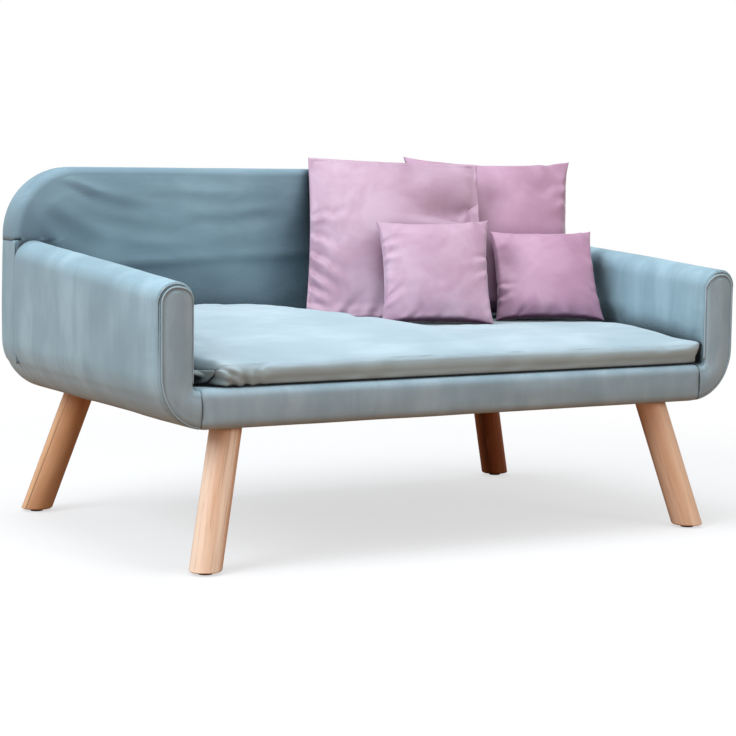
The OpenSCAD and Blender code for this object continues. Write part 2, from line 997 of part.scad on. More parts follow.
// Axes of a cushion that is turned and leans back: along its width, up its height and out of its front
function pad_axes(turn, lean) = [
    [cos(turn), -sin(turn), 0],
    [sin(turn) * sin(lean), cos(turn) * sin(lean), cos(lean)],
    [-sin(turn) * cos(lean), -cos(turn) * cos(lean), sin(lean)]
];
function pad_place(points, axes, at) = [for (p = points) at + p[0] * axes[0] + p[1] * axes[1] + p[2] * axes[2]];

// Lowest gap between a placed cushion and the seat cushion
function pad_gap(points) = min([for (p = points) p[2] - seat_height(p[0], p[1])]);

// Slides a cushion along its own height until it rests on the seat cushion
function pad_rest(points, axes, at, tries) = tries == 0 ? at :
    let (gap = pad_gap(pad_place(points, axes, at)) - lay_gap)
    pad_rest(points, axes, at - gap / axes[1][2] * axes[1], tries - 1);

// Moves a cushion to the rear until it leans on the back, then rests it on the seat
function pad_lean(points, axes, at, tries) = tries == 0 ? at :
    let (
        rear = max([for (p = pad_place(points, axes, at)) p[1]]),
        moved = at + [0, back_y - lay_gap - rear, 0],
        gap = pad_gap(pad_place(points, axes, moved)) - lay_gap
    )
    pad_lean(points, axes, moved - [0, 0, gap], tries - 1);

pad_n = 16;
pad_fill_n = 8;
settle_tries = 4;
large_points = pad_points(large_s, large_t, pad_n);
small_points = pad_points(small_s, small_t, pad_n);
pair_gap = (large_t + small_t) / 2 + lay_gap;

left_axes = pad_axes(left_turn, left_lean);
large_left_at = pad_lean(large_points, left_axes, [left_x, 0, seat_z + seat_t + large_s / 2], settle_tries);
small_left_at = pad_rest(small_points, left_axes,
    large_left_at + pair_gap * left_axes[2] + left_shift * left_axes[0], settle_tries);

right_axes = pad_axes(right_turn, right_lean);
large_right_at = pad_lean(large_points, right_axes, [right_x, 0, seat_z + seat_t + large_s / 2], settle_tries);
slumped_axes = [right_axes[0], slump_share * right_axes[1], right_axes[2]];
small_right_at = pad_rest(small_points, slumped_axes,
    large_right_at + pair_gap * right_axes[2] + right_shift * right_axes[0], settle_tries);

module pad_form(size, thick, n, axes, at) {
    front = function(a, b) a * (n + 1) + b;
    rear = function(a, b) a == 0 || b == 0 || a == n || b == n ? front(a, b) :
        (n + 1) * (n + 1) + (a - 1) * (n - 1) + b - 1;
    cells = [for (a = [0:n - 1], b = [0:n - 1]) [a, b]];
    split = function(c) (c[0] < n / 2) == (c[1] < n / 2);
    polyhedron(
        points = pad_place(pad_points(size, thick, n), axes, at),
        faces = concat(
            [for (c = cells) let (a = c[0], b = c[1])
                split(c) ? [front(a, b), front(a + 1, b + 1), front(a + 1, b)]
                    : [front(a, b), front(a, b + 1), front(a + 1, b)]],
            [for (c = cells) let (a = c[0], b = c[1])
                split(c) ? [front(a, b), front(a, b + 1), front(a + 1, b + 1)]
                    : [front(a + 1, b), front(a, b + 1), front(a + 1, b + 1)]],
            [for (c = cells) let (a = c[0], b = c[1])
                split(c) ? [rear(a, b), rear(a + 1, b), rear(a + 1, b + 1)]
                    : [rear(a, b), rear(a + 1, b), rear(a, b + 1)]],
            [for (c = cells) let (a = c[0], b = c[1])
                split(c) ? [rear(a, b), rear(a + 1, b + 1), rear(a, b + 1)]
                    : [rear(a + 1, b), rear(a + 1, b + 1), rear(a, b + 1)]]
        )
    );
}

module pad_cover(size, thick, axes, at) {
    color(mauve)
        difference() {
            pad_form(size, thick, pad_n, axes, at);
            pad_form(size - 2 * case_t, thick - 2 * case_t, pad_fill_n, axes, at);
        }
}

module pad_fill(size, thick, axes, at) {
    in = 2 * (case_t + lay_gap);
    color("white")
        pad_form(size - in, thick - in, pad_fill_n, axes, at);
}

base_front_rail();
base_rear_rail();
base_side_rail(false);  // base_side_rail_left
base_side_rail(true);  // base_side_rail_right
cross_slats();
corner_blocks();
deck_board();
corner_ribs(false);  // corner_ribs_left
corner_ribs(true);  // corner_ribs_right
arm_panel(false);  // arm_panel_left
arm_panel(true);  // arm_panel_right
back_board();
rib_screws();
deck_screws();
back_board_screws();
arm_foam(false);  // arm_foam_left
arm_foam(true);  // arm_foam_right
corner_foam(false);  // corner_foam_left
corner_foam(true);  // corner_foam_right
back_foam();
rail_foam();
deck_foam();
arm_cover(false);  // arm_cover_left
arm_cover(true);  // arm_cover_right
arm_facing(false);  // arm_facing_left
arm_facing(true);  // arm_facing_right
arm_welt(false);  // arm_welt_left
arm_welt(true);  // arm_welt_right
rail_cover();
deck_cover();
back_cover();
outer_back_cover();
dust_cover();
staples();
leg(false, false);  // leg_front_left
leg(true, false);  // leg_front_right
leg(false, true);  // leg_rear_left
leg(true, true);  // leg_rear_right
hanger_bolts();
threaded_inserts();
leg_glides();
seat_cushion_cover();
seat_cushion_fill();
pad_cover(large_s, large_t, left_axes, large_left_at);  // large_cushion_left_cover
pad_fill(large_s, large_t, left_axes, large_left_at);  // large_cushion_left_fill
pad_cover(large_s, large_t, right_axes, large_right_at);  // large_cushion_right_cover
pad_fill(large_s, large_t, right_axes, large_right_at);  // large_cushion_right_fill
pad_cover(small_s, small_t, left_axes, small_left_at);  // small_cushion_left_cover
pad_fill(small_s, small_t, left_axes, small_left_at);  // small_cushion_left_fill
pad_cover(small_s, small_t, slumped_axes, small_right_at);  // small_cushion_right_cover
pad_fill(small_s, small_t, slumped_axes, small_right_at);  // small_cushion_right_fill
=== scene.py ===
import json
import math
import random

import bmesh
import bpy
import numpy as np
from mathutils import Matrix, Vector, noise


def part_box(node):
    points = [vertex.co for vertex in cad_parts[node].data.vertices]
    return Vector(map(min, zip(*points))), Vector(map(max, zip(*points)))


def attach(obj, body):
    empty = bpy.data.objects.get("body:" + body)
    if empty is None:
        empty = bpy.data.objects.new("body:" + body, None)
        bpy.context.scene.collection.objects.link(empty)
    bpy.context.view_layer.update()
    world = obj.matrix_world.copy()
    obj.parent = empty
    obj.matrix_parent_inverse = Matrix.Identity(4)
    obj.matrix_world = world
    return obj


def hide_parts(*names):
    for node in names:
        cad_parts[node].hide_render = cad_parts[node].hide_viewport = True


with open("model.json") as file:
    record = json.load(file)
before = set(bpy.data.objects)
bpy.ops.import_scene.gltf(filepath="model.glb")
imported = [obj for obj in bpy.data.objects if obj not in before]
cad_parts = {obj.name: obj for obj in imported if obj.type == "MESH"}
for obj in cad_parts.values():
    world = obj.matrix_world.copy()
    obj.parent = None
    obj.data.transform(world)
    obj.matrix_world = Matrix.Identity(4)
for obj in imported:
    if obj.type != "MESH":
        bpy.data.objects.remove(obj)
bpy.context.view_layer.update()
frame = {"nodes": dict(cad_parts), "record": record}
mm = 0.001


def boxOf(node):
    low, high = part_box(node)
    return np.array(low), np.array(high)


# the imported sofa's main planes, all in metres
armLow, armHigh = boxOf("arm_cover_left")
backLow, backHigh = boxOf("back_cover")
railLow, railHigh = boxOf("rail_cover")

sofa = {
    "side": -armLow[0],
    "front": armLow[1],
    "rear": armHigh[1],
    "under": armLow[2],
    "deck": boxOf("deck_cover")[1][2],
    "armTop": armHigh[2],
    "sideSeam": armHigh[2],     # the back's side seam, level with the arm's top
    "backFront": backLow[1],
    "backTop": backHigh[2],
    "armThickness": 58 * mm,
    "seamX": -railLow[0],       # where each arm's front panel meets the rail
    "railRear": railHigh[1],
    "panelFront": boxOf("outer_back_cover")[0][1],   # how far the rear panel is turned in below
    "turnX": -armHigh[0],       # how far the arm covers are turned in below
    "lowRadius": 81 * mm,       # lower corners seen from the front
    "backRadius": 107 * mm,     # upper corners of the back
    "edgeRadius": 12 * mm,
    "deckFillet": 4 * mm,       # where an arm's cover turns onto the platform
    "seamInset": 8 * mm,        # welted seam of the front panels
    "armSlope": 37 / 600,       # rise of the arms from front to rear
}
sofa["armInner"] = sofa["side"] - sofa["armThickness"]


def say(text):
    print("scene:", text)


# camera, at the place that the photograph was taken from
photoCamera = {
    "place": (-1650.5 * mm, -2847.3 * mm, 578.6 * mm),
    "yaw": 30.15,
    "pitch": -5.85,
    "roll": 0.74,
    "focalPixels": 2076.54,
    "photoPixels": 736,
    "sensor": 36.0,
}


def makeCamera():
    c = photoCamera
    yaw, pitch, roll = (math.radians(c[k]) for k in ("yaw", "pitch", "roll"))
    ahead = Vector((math.sin(yaw) * math.cos(pitch), math.cos(yaw) * math.cos(pitch), math.sin(pitch)))
    level = Vector((math.cos(yaw), -math.sin(yaw), 0))
    above = level.cross(ahead)
    right = math.cos(roll) * level + math.sin(roll) * above
    up = math.cos(roll) * above - math.sin(roll) * level
    data = bpy.data.cameras.new("photoCamera")
    data.sensor_width = c["sensor"]
    data.lens = c["focalPixels"] / c["photoPixels"] * c["sensor"]
    camera = bpy.data.objects.new("photoCamera", data)
    turn = Matrix((right, up, -ahead)).transposed().to_4x4()
    camera.matrix_world = Matrix.Translation(Vector(c["place"])) @ turn
    bpy.context.scene.collection.objects.link(camera)
    bpy.context.scene.camera = camera


makeCamera()
say("camera set")


# materials
def linear(hexColour):
    values = [int(hexColour[k:k + 2], 16) / 255 for k in (1, 3, 5)]
    return tuple(v / 12.92 if v <= 0.04045 else ((v + 0.055) / 1.055) ** 2.4 for v in values) + (1.0,)


# one node with its settings; each socket gets a value, or a link where the value is another node's output
def addNode(tree, kind, sockets, output=0, **settings):
    node = tree.nodes.new("ShaderNode" + kind)
    for name, value in settings.items():
        setattr(node, name, value)
    for name, value in sockets.items():
        if isinstance(value, bpy.types.NodeSocket):
            tree.links.new(value, node.inputs[name])
        else:
            node.inputs[name].default_value = value
    return node.outputs[output] if node.outputs else node


def startMaterial(name):
    material = bpy.data.materials.new(name)
    material.use_nodes = True
    tree = material.node_tree
    tree.nodes.clear()
    return material, tree, addNode(tree, "TexCoord", {}, "Object")


# a colour that goes over into another as a value rises between two limits, most of the way or all of it
def blend(tree, value, low, high, most, first, second):
    share = addNode(tree, "MapRange", {"Value": value, "From Min": low, "From Max": high, "To Max": most})
    return addNode(tree, "Mix", {0: share, 6: first, 7: second}, 2, data_type="RGBA")


def finishMaterial(material, tree, sockets):
    shader = addNode(tree, "BsdfPrincipled", sockets)
    addNode(tree, "OutputMaterial", {"Surface": shader})
    return material


# polyester velvet, woven and cut: a dense short pile that shines where it is seen edge on, with streaks
# where the pile has been brushed another way. Painted shade darkens it in hollows and seams, and on a side
# strip
def cutVelvet(name, body, brushed, worn, sheenTint, streakMm, sheen=0.35, streaks=(1, 1, 0.28),
              rough=(0.78, 0.9), gloss=0.25, shadeColour="#1C2830", shadeReachMm=0, depth=(0.3, 0.85), shadedBand=None):
    pileMm = 1.6       # the real pile is about 0.3 mm across, too fine to show
    cloudMm = 3.2 * streakMm
    material, tree, place = startMaterial(name)
    along = addNode(tree, "Mapping", {"Vector": place, "Scale": streaks})
    streak = addNode(tree, "TexNoise", {"Vector": along, "Scale": 1000 / streakMm, "Detail": 3.0,
                                        "Roughness": 0.55, "Distortion": 0.4})
    cloud = addNode(tree, "TexNoise", {"Vector": place, "Scale": 1000 / cloudMm})
    pile = addNode(tree, "TexNoise", {"Vector": place, "Scale": 1000 / pileMm, "Roughness": 0.6})
    colour = linear(body)
    for value, low, high, most, other in ((streak, 0.4, 0.62, 1, brushed), (cloud, 0.42, 0.72, 0.7, worn),
                                          (pile, 0.3, 0.7, 0.16, brushed)):
        colour = blend(tree, value, low, high, most, colour, linear(other))
    if shadedBand:
        # painted shade: the strip round a cushion's side is given a darker tone below the given heights
        shade, low, high = shadedBand
        height = addNode(tree, "SeparateXYZ", {"Vector": place}, "Z")
        colour = blend(tree, height, low, high, 1, linear(shade), colour)
    # painted shade: the colour goes over to the shade colour where the ambient occlusion node finds other
    # surfaces near
    if shadeReachMm:
        open = addNode(tree, "AmbientOcclusion", {"Distance": shadeReachMm * mm}, "AO", samples=4)
        colour = blend(tree, open, *depth, 1, linear(shadeColour), colour)
    brush = addNode(tree, "MapRange", {"Value": streak, "From Min": 0.3, "From Max": 0.7,
                                       "To Min": rough[0], "To Max": rough[1]})
    soft = addNode(tree, "Bump", {"Height": streak, "Strength": 0.12, "Distance": 0.6 * mm})
    fibre = addNode(tree, "Bump", {"Height": pile, "Strength": 0.22, "Distance": 0.25 * mm, "Normal": soft})
    return finishMaterial(material, tree, {
        "Base Color": colour, "Roughness": brush, "Normal": fibre, "IOR": 1.5, "Specular IOR Level": gloss,
        "Sheen Weight": sheen, "Sheen Roughness": 0.38, "Sheen Tint": linear(sheenTint)})


# beech turned on a lathe and lacquered clear: fine long grain, darker flecks, and end grain rings across
def turnedBeech(name, legAxis, legMiddle, seed, pale, dark, fleck="#B0744A"):
    ringMm, fleckMm, figureMm, checkMm = 4.5, 2.2, 30, 9
    material, tree, place = startMaterial(name)
    tilt = Vector(legAxis).normalized().to_track_quat("Z", "Y").to_matrix().inverted()
    local = addNode(tree, "Mapping", {"Vector": place, "Rotation": tilt.to_euler(),
                                      "Location": tuple(tilt @ -Vector(legMiddle))})
    log = addNode(tree, "Mapping", {"Vector": local, "Scale": (1, 1, 0.06),
                                    "Location": (0.031 * seed, 0.017, 0.4 * seed)})
    rings = addNode(tree, "TexWave", {"Vector": log, "Scale": 50 / ringMm, "Distortion": 3.0, "Detail": 3.0,
                                      "Detail Scale": 1.4}, wave_type="RINGS", rings_direction="Z")
    fine = addNode(tree, "Mapping", {"Vector": local, "Scale": (1, 1, 0.035), "Location": (seed, 0, 0)})
    fibre = addNode(tree, "TexNoise", {"Vector": fine, "Scale": 1000 / fleckMm, "Detail": 4.0,
                                       "Roughness": 0.6})
    wide = addNode(tree, "Mapping", {"Vector": local, "Scale": (1, 1, 0.25), "Location": (0, seed, 0)})
    figure = addNode(tree, "TexNoise", {"Vector": wide, "Scale": 1000 / figureMm})
    long = addNode(tree, "Mapping", {"Vector": local, "Scale": (1, 1, 0.02),
                                     "Location": (0.3 * seed, 0.2, 0)})
    check = addNode(tree, "TexNoise", {"Vector": long, "Scale": 1000 / checkMm})
    # rings, flecks, pale figure, and drying checks, which are short dark lines along the grain
    colour = linear(pale)
    for value, low, high, most, other in ((rings, 0.2, 0.9, 0.75, dark), (fibre, 0.5, 0.72, 0.55, fleck),
                                          (figure, 0.35, 0.7, 0.5, pale),
                                          (check, 0.65, 0.7, 0.6, "#5A3018")):
        colour = blend(tree, value, low, high, most, colour, linear(other))
    grain = addNode(tree, "Bump", {"Height": fibre, "Strength": 0.25, "Distance": 0.3 * mm})
    return finishMaterial(material, tree, {
        "Base Color": colour, "Normal": grain, "Roughness": 0.48, "IOR": 1.5, "Coat Weight": 0.12,
        "Coat Roughness": 0.3})


# pine or birch ply, planed or sawn and left bare: pale, with long grain in the board's own direction
def bareWood(name, pale, dark, stretch, grainMm):
    material, tree, place = startMaterial(name)
    along = addNode(tree, "Mapping", {"Vector": place, "Scale": stretch})
    grain = addNode(tree, "TexNoise", {"Vector": along, "Scale": 1000 / grainMm, "Detail": 5.0,
                                       "Roughness": 0.6, "Distortion": 0.6})
    fibre = addNode(tree, "TexNoise", {"Vector": along, "Scale": 4000 / grainMm, "Detail": 3.0})
    colour = blend(tree, grain, 0.35, 0.68, 1, linear(pale), linear(dark))
    bump = addNode(tree, "Bump", {"Height": fibre, "Strength": 0.3, "Distance": 0.3 * mm})
    return finishMaterial(material, tree, {
        "Base Color": colour, "Normal": bump, "Roughness": 0.72, "IOR": 1.5})


# polyurethane foam, cut from a block: matt, with open cells, drawn twice as coarse as the real 1 mm
def cutFoam(name, body, cellMm):
    material, tree, place = startMaterial(name)
    cells = addNode(tree, "TexVoronoi", {"Vector": place, "Scale": 1000 / cellMm})
    share = addNode(tree, "MapRange", {"Value": cells, "From Min": 0.1, "From Max": 0.6,
                                       "To Min": 0.35, "To Max": 0.0})
    colour = addNode(tree, "Mix", {0: share, 6: linear(body), 7: linear("#B49A5E")}, 2, data_type="RGBA")
    bump = addNode(tree, "Bump", {"Height": cells, "Strength": 0.5, "Distance": 0.5 * mm})
    return finishMaterial(material, tree, {
        "Base Color": colour, "Normal": bump, "Roughness": 0.95, "IOR": 1.45})


# steel wire and rod, drawn and zinc plated: bright with a faint mottle
def zincSteel(name, mottleMm=3):
    material, tree, place = startMaterial(name)
    mottle = addNode(tree, "TexNoise", {"Vector": place, "Scale": 1000 / mottleMm, "Detail": 3.0,
                                        "Roughness": 0.6})
    colour = blend(tree, mottle, 0.3, 0.7, 1, linear("#B4B8BA"), linear("#8F9497"))
    rough = addNode(tree, "MapRange", {"Value": mottle, "From Min": 0.3, "From Max": 0.7,
                                       "To Min": 0.3, "To Max": 0.48})
    return finishMaterial(material, tree, {"Base Color": colour, "Roughness": rough, "Metallic": 1.0})


# polyethylene, moulded black: a soft gloss with scuffs
def mouldedBlack(name, scuffMm=2):
    material, tree, place = startMaterial(name)
    scuff = addNode(tree, "TexNoise", {"Vector": place, "Scale": 1000 / scuffMm, "Detail": 4.0,
                                       "Roughness": 0.65})
    colour = blend(tree, scuff, 0.4, 0.8, 0.5, linear("#141414"), linear("#3A3836"))
    rough = addNode(tree, "MapRange", {"Value": scuff, "From Min": 0.3, "From Max": 0.7,
                                       "To Min": 0.4, "To Max": 0.62})
    bump = addNode(tree, "Bump", {"Height": scuff, "Strength": 0.15, "Distance": 0.1 * mm})
    return finishMaterial(material, tree, {
        "Base Color": colour, "Roughness": rough, "Normal": bump, "IOR": 1.5})


# polypropylene fleece, spun and pressed with rows of small dots: matt and thready
def spunBond(name, body, dotMm, threadMm=1.5):
    material, tree, place = startMaterial(name)
    dots = addNode(tree, "TexVoronoi", {"Vector": place, "Scale": 1000 / dotMm, "Randomness": 0.15})
    thread = addNode(tree, "TexNoise", {"Vector": place, "Scale": 1000 / threadMm, "Detail": 4.0,
                                        "Roughness": 0.7})
    base = linear(body)
    pale = tuple(min(1, c * 1.8 + 0.01) for c in base[:3]) + (1.0,)
    colour = blend(tree, thread, 0.35, 0.7, 0.8, base, pale)
    bump = addNode(tree, "Bump", {"Height": dots, "Strength": 0.35, "Distance": 0.2 * mm})
    return finishMaterial(material, tree, {
        "Base Color": colour, "Normal": bump, "Roughness": 0.9, "IOR": 1.5})


# painted shade: this velvet, and the front, back and seat copies below, are darkened near other surfaces
sofaVelvet = cutVelvet("cutVelvetTeal", "#8BA7B2", "#9AB6C0", "#7B96A1", "#DDF0F5", 34, shadeColour="#0A121A",
                       shadeReachMm=44, depth=(0.5, 0.8))
# painted light: the front panels and rail get a lighter tone of the same velvet
litFrontVelvet = cutVelvet("cutVelvetTealFront", "#92AAB5", "#A0B6C0", "#849BA7", "#D5E6EC", 30, shadeReachMm=7)
# painted shade: the back gets a darker tone of the same velvet, and wide painted shade low down by the seat
shadedBackVelvet = cutVelvet("cutVelvetTealBack", "#7A949F", "#88A2AD", "#6C8693", "#CFE5EC", 46,
                       streaks=(0.35, 1, 1), shadeColour="#0A1420", shadeReachMm=100, depth=(0.42, 0.93))
# painted shade: the side strip's darker tone gives way to the seat's top between these heights
seatEdge = (278 * mm, 284 * mm)   # between the boxing strip and the seat cushion's top
# painted light: the seat cushion gets a lighter tone of the same velvet
litSeatVelvet = cutVelvet("cutVelvetSeat", "#A5BAC2", "#B5C8CF", "#98AEB8", "#F0F6F8", 52, 0.38, (0.4, 1, 1),
                       shadeColour="#0C1016", shadeReachMm=28, depth=(0.45, 0.8), shadedBand=("#99A7A8", *seatEdge))
deckVelvet = cutVelvet("cutVelvetDeck", "#8AA1AB", "#98AFB8", "#788F9A", "#DDEEF3", 40)
mauveVelvet = cutVelvet("cutVelvetMauve", "#AE8B9F", "#BEA1B3", "#9C778E", "#FFF4FB", 60)
# painted highlight: the welts get a lighter tone of the same velvet, standing in for the light along the
# cord
litWeltVelvet = cutVelvet("cutVelvetWelt", "#98B0BA", "#A6BDC6", "#8AA2AD", "#E2F2F6", 20)
framePine = bareWood("planedPine", "#E6C79A", "#C79A66", (0.08, 1, 1), 14)
framePly = bareWood("sawnBirchPly", "#DDBC8C", "#C29A69", (1, 0.2, 0.2), 22)
foamMaterial = cutFoam("cutFoam", "#EADFB4", 2.2)
fibreMaterial = spunBond("spunFibreFill", "#E8E8E4", 6)
steelMaterial = zincSteel("drawnZincSteel")
blackPlastic = mouldedBlack("mouldedPolyethylene")
dustCloth = spunBond("spunPolypropylene", "#1B1B1D", 3)
say("materials made")

slotMaterials = {
    "sofa_velvet": sofaVelvet,
    "seat_velvet": litSeatVelvet,
    "cushion_velvet": mauveVelvet,
    "upholstery_foam": foamMaterial,
    "fibre_fill": fibreMaterial,
    "frame_pine": framePine,
    "frame_plywood": framePly,
    "leg_wood": framePine,
    "zinc_steel": steelMaterial,
    "glide_plastic": blackPlastic,
    "dust_cloth": dustCloth,
}
for part in frame["record"]["subparts"]:
    mesh = frame["nodes"][part["node"]].data
    mesh.materials.clear()
    mesh.materials.append(slotMaterials[part["material_slot"]])


# meshes
def newPiece(name, points, faces, material, body, replaced):
    mesh = bpy.data.meshes.new(name)
    mesh.from_pydata([tuple(p) for p in points], [], [tuple(int(i) for i in f) for f in faces])
    piece = bpy.data.objects.new(name, mesh)
    bpy.context.scene.collection.objects.link(piece)
    tidyMesh(piece)
    mesh.materials.append(material)
    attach(piece, body)
    if replaced:
        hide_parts(*replaced)
    return piece


def tidyMesh(piece, gap=0.02 * mm):
    bm = bmesh.new()
    bm.from_mesh(piece.data)
    bmesh.ops.remove_doubles(bm, verts=bm.verts, dist=gap)
    bmesh.ops.dissolve_degenerate(bm, dist=gap, edges=bm.edges)
    bmesh.ops.recalc_face_normals(bm, faces=bm.faces)
    bm.to_mesh(piece.data)
    bm.free()
    for face in piece.data.polygons:
        face.use_smooth = True


def gridFaces(rows, columns, first=0, loop=False):
    faces = []
    for r in range(rows - 1):
        for c in range(columns - (0 if loop else 1)):
            n = (c + 1) % columns
            a = first + r * columns
            faces.append((a + c, a + n, a + columns + n, a + columns + c))
    return faces


def thicken(piece, thickness):
    solid = piece.modifiers.new("cloth", "SOLIDIFY")
    solid.thickness = thickness
    solid.offset = -1     # inwards from the face that shows
    applyModifiers(piece)


def applyModifiers(piece):
    graph = bpy.context.evaluated_depsgraph_get()
    fresh = bpy.data.meshes.new_from_object(piece.evaluated_get(graph))
    old = piece.data
    piece.modifiers.clear()
    piece.data = fresh
    fresh.name = old.name
    bpy.data.meshes.remove(old)
    for face in fresh.polygons:
        face.use_smooth = True


def spaced(start, end, step):
    return np.linspace(start, end, max(2, int(abs(end - start) / step) + 1))


def ripple(p, size, seed):
    return noise.noise(Vector((p[0] / size + seed, p[1] / size, p[2] / size)))


# points of a rounded edge about its own centre, as (sine, cosine) times the radius
def roundOver(radius, count, start=0, end=90):
    angles = np.radians(np.linspace(start, end, count))
    return [(radius * math.sin(a), radius * math.cos(a)) for a in angles]


clothStep = 6 * mm
clothThickness = 1.5 * mm
thinCloth = 0.4 * mm       # over the platform and under the base

# route of the arm's outline seen from the front: from the rail over the arm's top to the lower corner
armParts = [("deck", 6), ("fillet", 14), ("inner", 26), ("arch", 24), ("outer", 26), ("low", 20)]
armRoute = [("deck", 0.0)]
armRoute += [(part, k / count) for part, count in armParts for k in range(1, count + 1)]
archTop = armRoute.index(("arch", 0.5))


def smooth(t):
    t = max(0.0, min(1.0, t))
    return t * t * (3 - 2 * t)


def armPoint(part, t, y, inset):
    r = sofa["armThickness"] / 2
    slopeLong = math.sqrt(1 + sofa["armSlope"] ** 2)
    topHere = sofa["armTop"] - (sofa["backFront"] - y) * sofa["armSlope"]
    archX, archZ = -sofa["side"] + r, topHere - r * slopeLong
    fillet = sofa["deckFillet"]
    filletX, filletZ = -sofa["armInner"] + fillet, sofa["deck"] + fillet
    low = sofa["lowRadius"]
    lowX, lowZ = -sofa["side"] + low, sofa["under"] + low
    if part == "deck":
        return -sofa["seamX"] + (filletX + sofa["seamX"]) * t, sofa["deck"] - inset
    if part == "fillet":
        a = math.radians(270 - 90 * t)
        return filletX + (fillet + inset) * math.cos(a), filletZ + (fillet + inset) * math.sin(a)
    if part == "inner":
        return -sofa["armInner"] - inset, filletZ + (archZ - filletZ) * t
    if part == "arch":
        a = math.pi * t
        return archX + (r - inset) * math.cos(a), archZ + (r - inset) * slopeLong * math.sin(a)
    if part == "outer":
        return -sofa["side"] + inset, archZ + (lowZ - archZ) * t
    end = 2 * math.pi - math.acos((-sofa["seamX"] - lowX) / (low - inset))
    a = math.pi + (end - math.pi) * t
    return lowX + (low - inset) * math.cos(a), lowZ + (low - inset) * math.sin(a)


# inset of the front panel's seam: narrow on the inner side, wide over the top and down the outer side
def seamInsetAt(part, t):
    if part == "arch":
        return frontPanel["innerInset"] + (sofa["seamInset"] - frontPanel["innerInset"]) * smooth(2 * t)
    if part == "outer":
        return sofa["seamInset"]
    if part == "low":
        return sofa["seamInset"] + (frontPanel["innerInset"] - sofa["seamInset"]) * smooth(1.1 * t)
    return frontPanel["innerInset"]


frontPanel = {
    "innerInset": 2.2 * mm,
    "dome": 1.8 * mm,
    "archTight": 0.78,      # how much of the front edge's depth is lost over the arm's top
    "across": 12,
    "roundSteps": 7,
    "weltRadius": 1.4 * mm,
    "stitchRadius": 0.7 * mm,
    "stitchInset": 3.2 * mm,
}


# the front edge is rounded: 90 degrees is the front plane, 0 degrees the side. It is tighter over the top.
def edgePoint(part, t, angle):
    r = sofa["edgeRadius"]
    tight = 1 - frontPanel["archTight"] * math.sin(math.pi * t) ** 0.6 if part == "arch" else 1.0
    y = sofa["front"] + r * (1 - math.sin(angle)) * tight
    x, z = armPoint(part, t, y, r * (1 - math.cos(angle)))
    return Vector((x, y, z))


def seamAngle(part, t, inset=None):
    inset = seamInsetAt(part, t) if inset is None else inset
    return math.acos(1 - inset / sofa["edgeRadius"])


armCloth = {
    "fullness": 2.2 * mm,       # of the outer side, from the front edge on
    "fullFrom": 70 * mm,
    "sideBand": 8 * mm,
    "waves": ((0.9 * mm, 0.15, 0), (0.35 * mm, 0.045, 5)),     # height, size and shift of the seed
    "pucker": 0.8 * mm,
    "puckerSize": 0.022,
    "puckerPlace": 20 * mm,     # behind the front plane
    "puckerWidth": 15 * mm,
    "turnIn": 14 * mm,          # how far the side's upper edge is tucked under the back's cover
    "seeds": {"left": 0.4, "right": 3.1},
}


# the velvet on an arm isn't flat: it swells a little over its foam and is drawn in beside the seams
def armSwell(p, seed):
    c = armCloth
    swell = sum(height * ripple(p, size, seed + shift) for height, size, shift in c["waves"])
    fromFront = p[1] - sofa["front"]
    if abs(p[0]) > sofa["side"] - c["sideBand"]:
        high = (p[2] - sofa["under"]) / (sofa["armTop"] - sofa["under"])
        across = max(0.0, math.sin(math.pi * min(1.0, max(0.0, high))))
        swell += c["fullness"] * smooth(fromFront / c["fullFrom"]) * across
    pucker = c["pucker"] * math.exp(-((fromFront - c["puckerPlace"]) / c["puckerWidth"]) ** 2)
    return swell + pucker * ripple((p[2] * 2.2, p[0] * 2.2, 0), c["puckerSize"], seed + 9)


def pushOut(piece, amount):
    mesh = piece.data
    normals = [v.normal.copy() for v in mesh.vertices]
    for vertex, normal in zip(mesh.vertices, normals):
        vertex.co += normal * amount(vertex.co)
    mesh.update()


def onSide(side, points):
    return [(-p[0], p[1], p[2]) if side == "right" else tuple(p) for p in points]


def makeArm(side):
    points = []
    steps = frontPanel["roundSteps"]
    for k in range(steps + 1):
        points += [edgePoint(part, t, seamAngle(part, t) * (1 - k / steps)) for part, t in armRoute]
    rows = spaced(sofa["front"] + sofa["edgeRadius"], sofa["backFront"] + 1 * mm, clothStep)[1:]
    for y in rows:
        for part, t in armRoute:
            x, z = armPoint(part, t, y, 0.0)
            points.append((x, y, z))
    faces = gridFaces(steps + 1 + len(rows), len(armRoute))

    # underside strip that is stapled to the base
    first = len(points)
    under, low = sofa["under"], sofa["lowRadius"]
    lowX = -sofa["side"] + low
    stripYs = spaced(sofa["railRear"], sofa["backFront"], clothStep * 2)
    turns = np.linspace(math.acos((-sofa["seamX"] - lowX) / low), math.pi / 2, 5)
    strip = [(lowX + low * math.cos(a), under + low * (1 - math.sin(a))) for a in turns]
    strip.append((-sofa["turnX"], under))
    points += [(x, y, z) for y in stripYs for x, z in strip]
    faces += gridFaces(len(stripYs), len(strip), first)

    # outer side of the back below the side seam, with its rear edge rounded to the rear panel's seam
    first = len(points)
    radius = sofa["edgeRadius"]
    sideRows = [(y, 0.0) for y in spaced(sofa["backFront"], sofa["rear"] - radius, clothStep)]
    sideRows += [(sofa["rear"] - radius + s, radius - c) for s, c in roundOver(radius, 8)[1:]]
    for y, inset in sideRows:
        reach = low - inset
        points.append((-sofa["side"] + armCloth["turnIn"], y, sofa["sideSeam"] - 0.5 * mm))
        points += [(-sofa["side"] + inset, y, z) for z in spaced(sofa["sideSeam"], under + low, clothStep)]
        for a in np.linspace(math.pi, 1.5 * math.pi, 22)[1:]:
            points.append((lowX + reach * math.cos(a), y, under + low + reach * math.sin(a)))
        points.append((-sofa["turnX"], y, under + inset))
    faces += gridFaces(len(sideRows), (len(points) - first) // len(sideRows), first)
    piece = newPiece(f"armCover{side.title()}", onSide(side, points), faces, sofaVelvet, "sofa",
                     [f"arm_cover_{side}"])
    pushOut(piece, lambda p: armSwell(p, armCloth["seeds"][side]))
    thicken(piece, clothThickness)


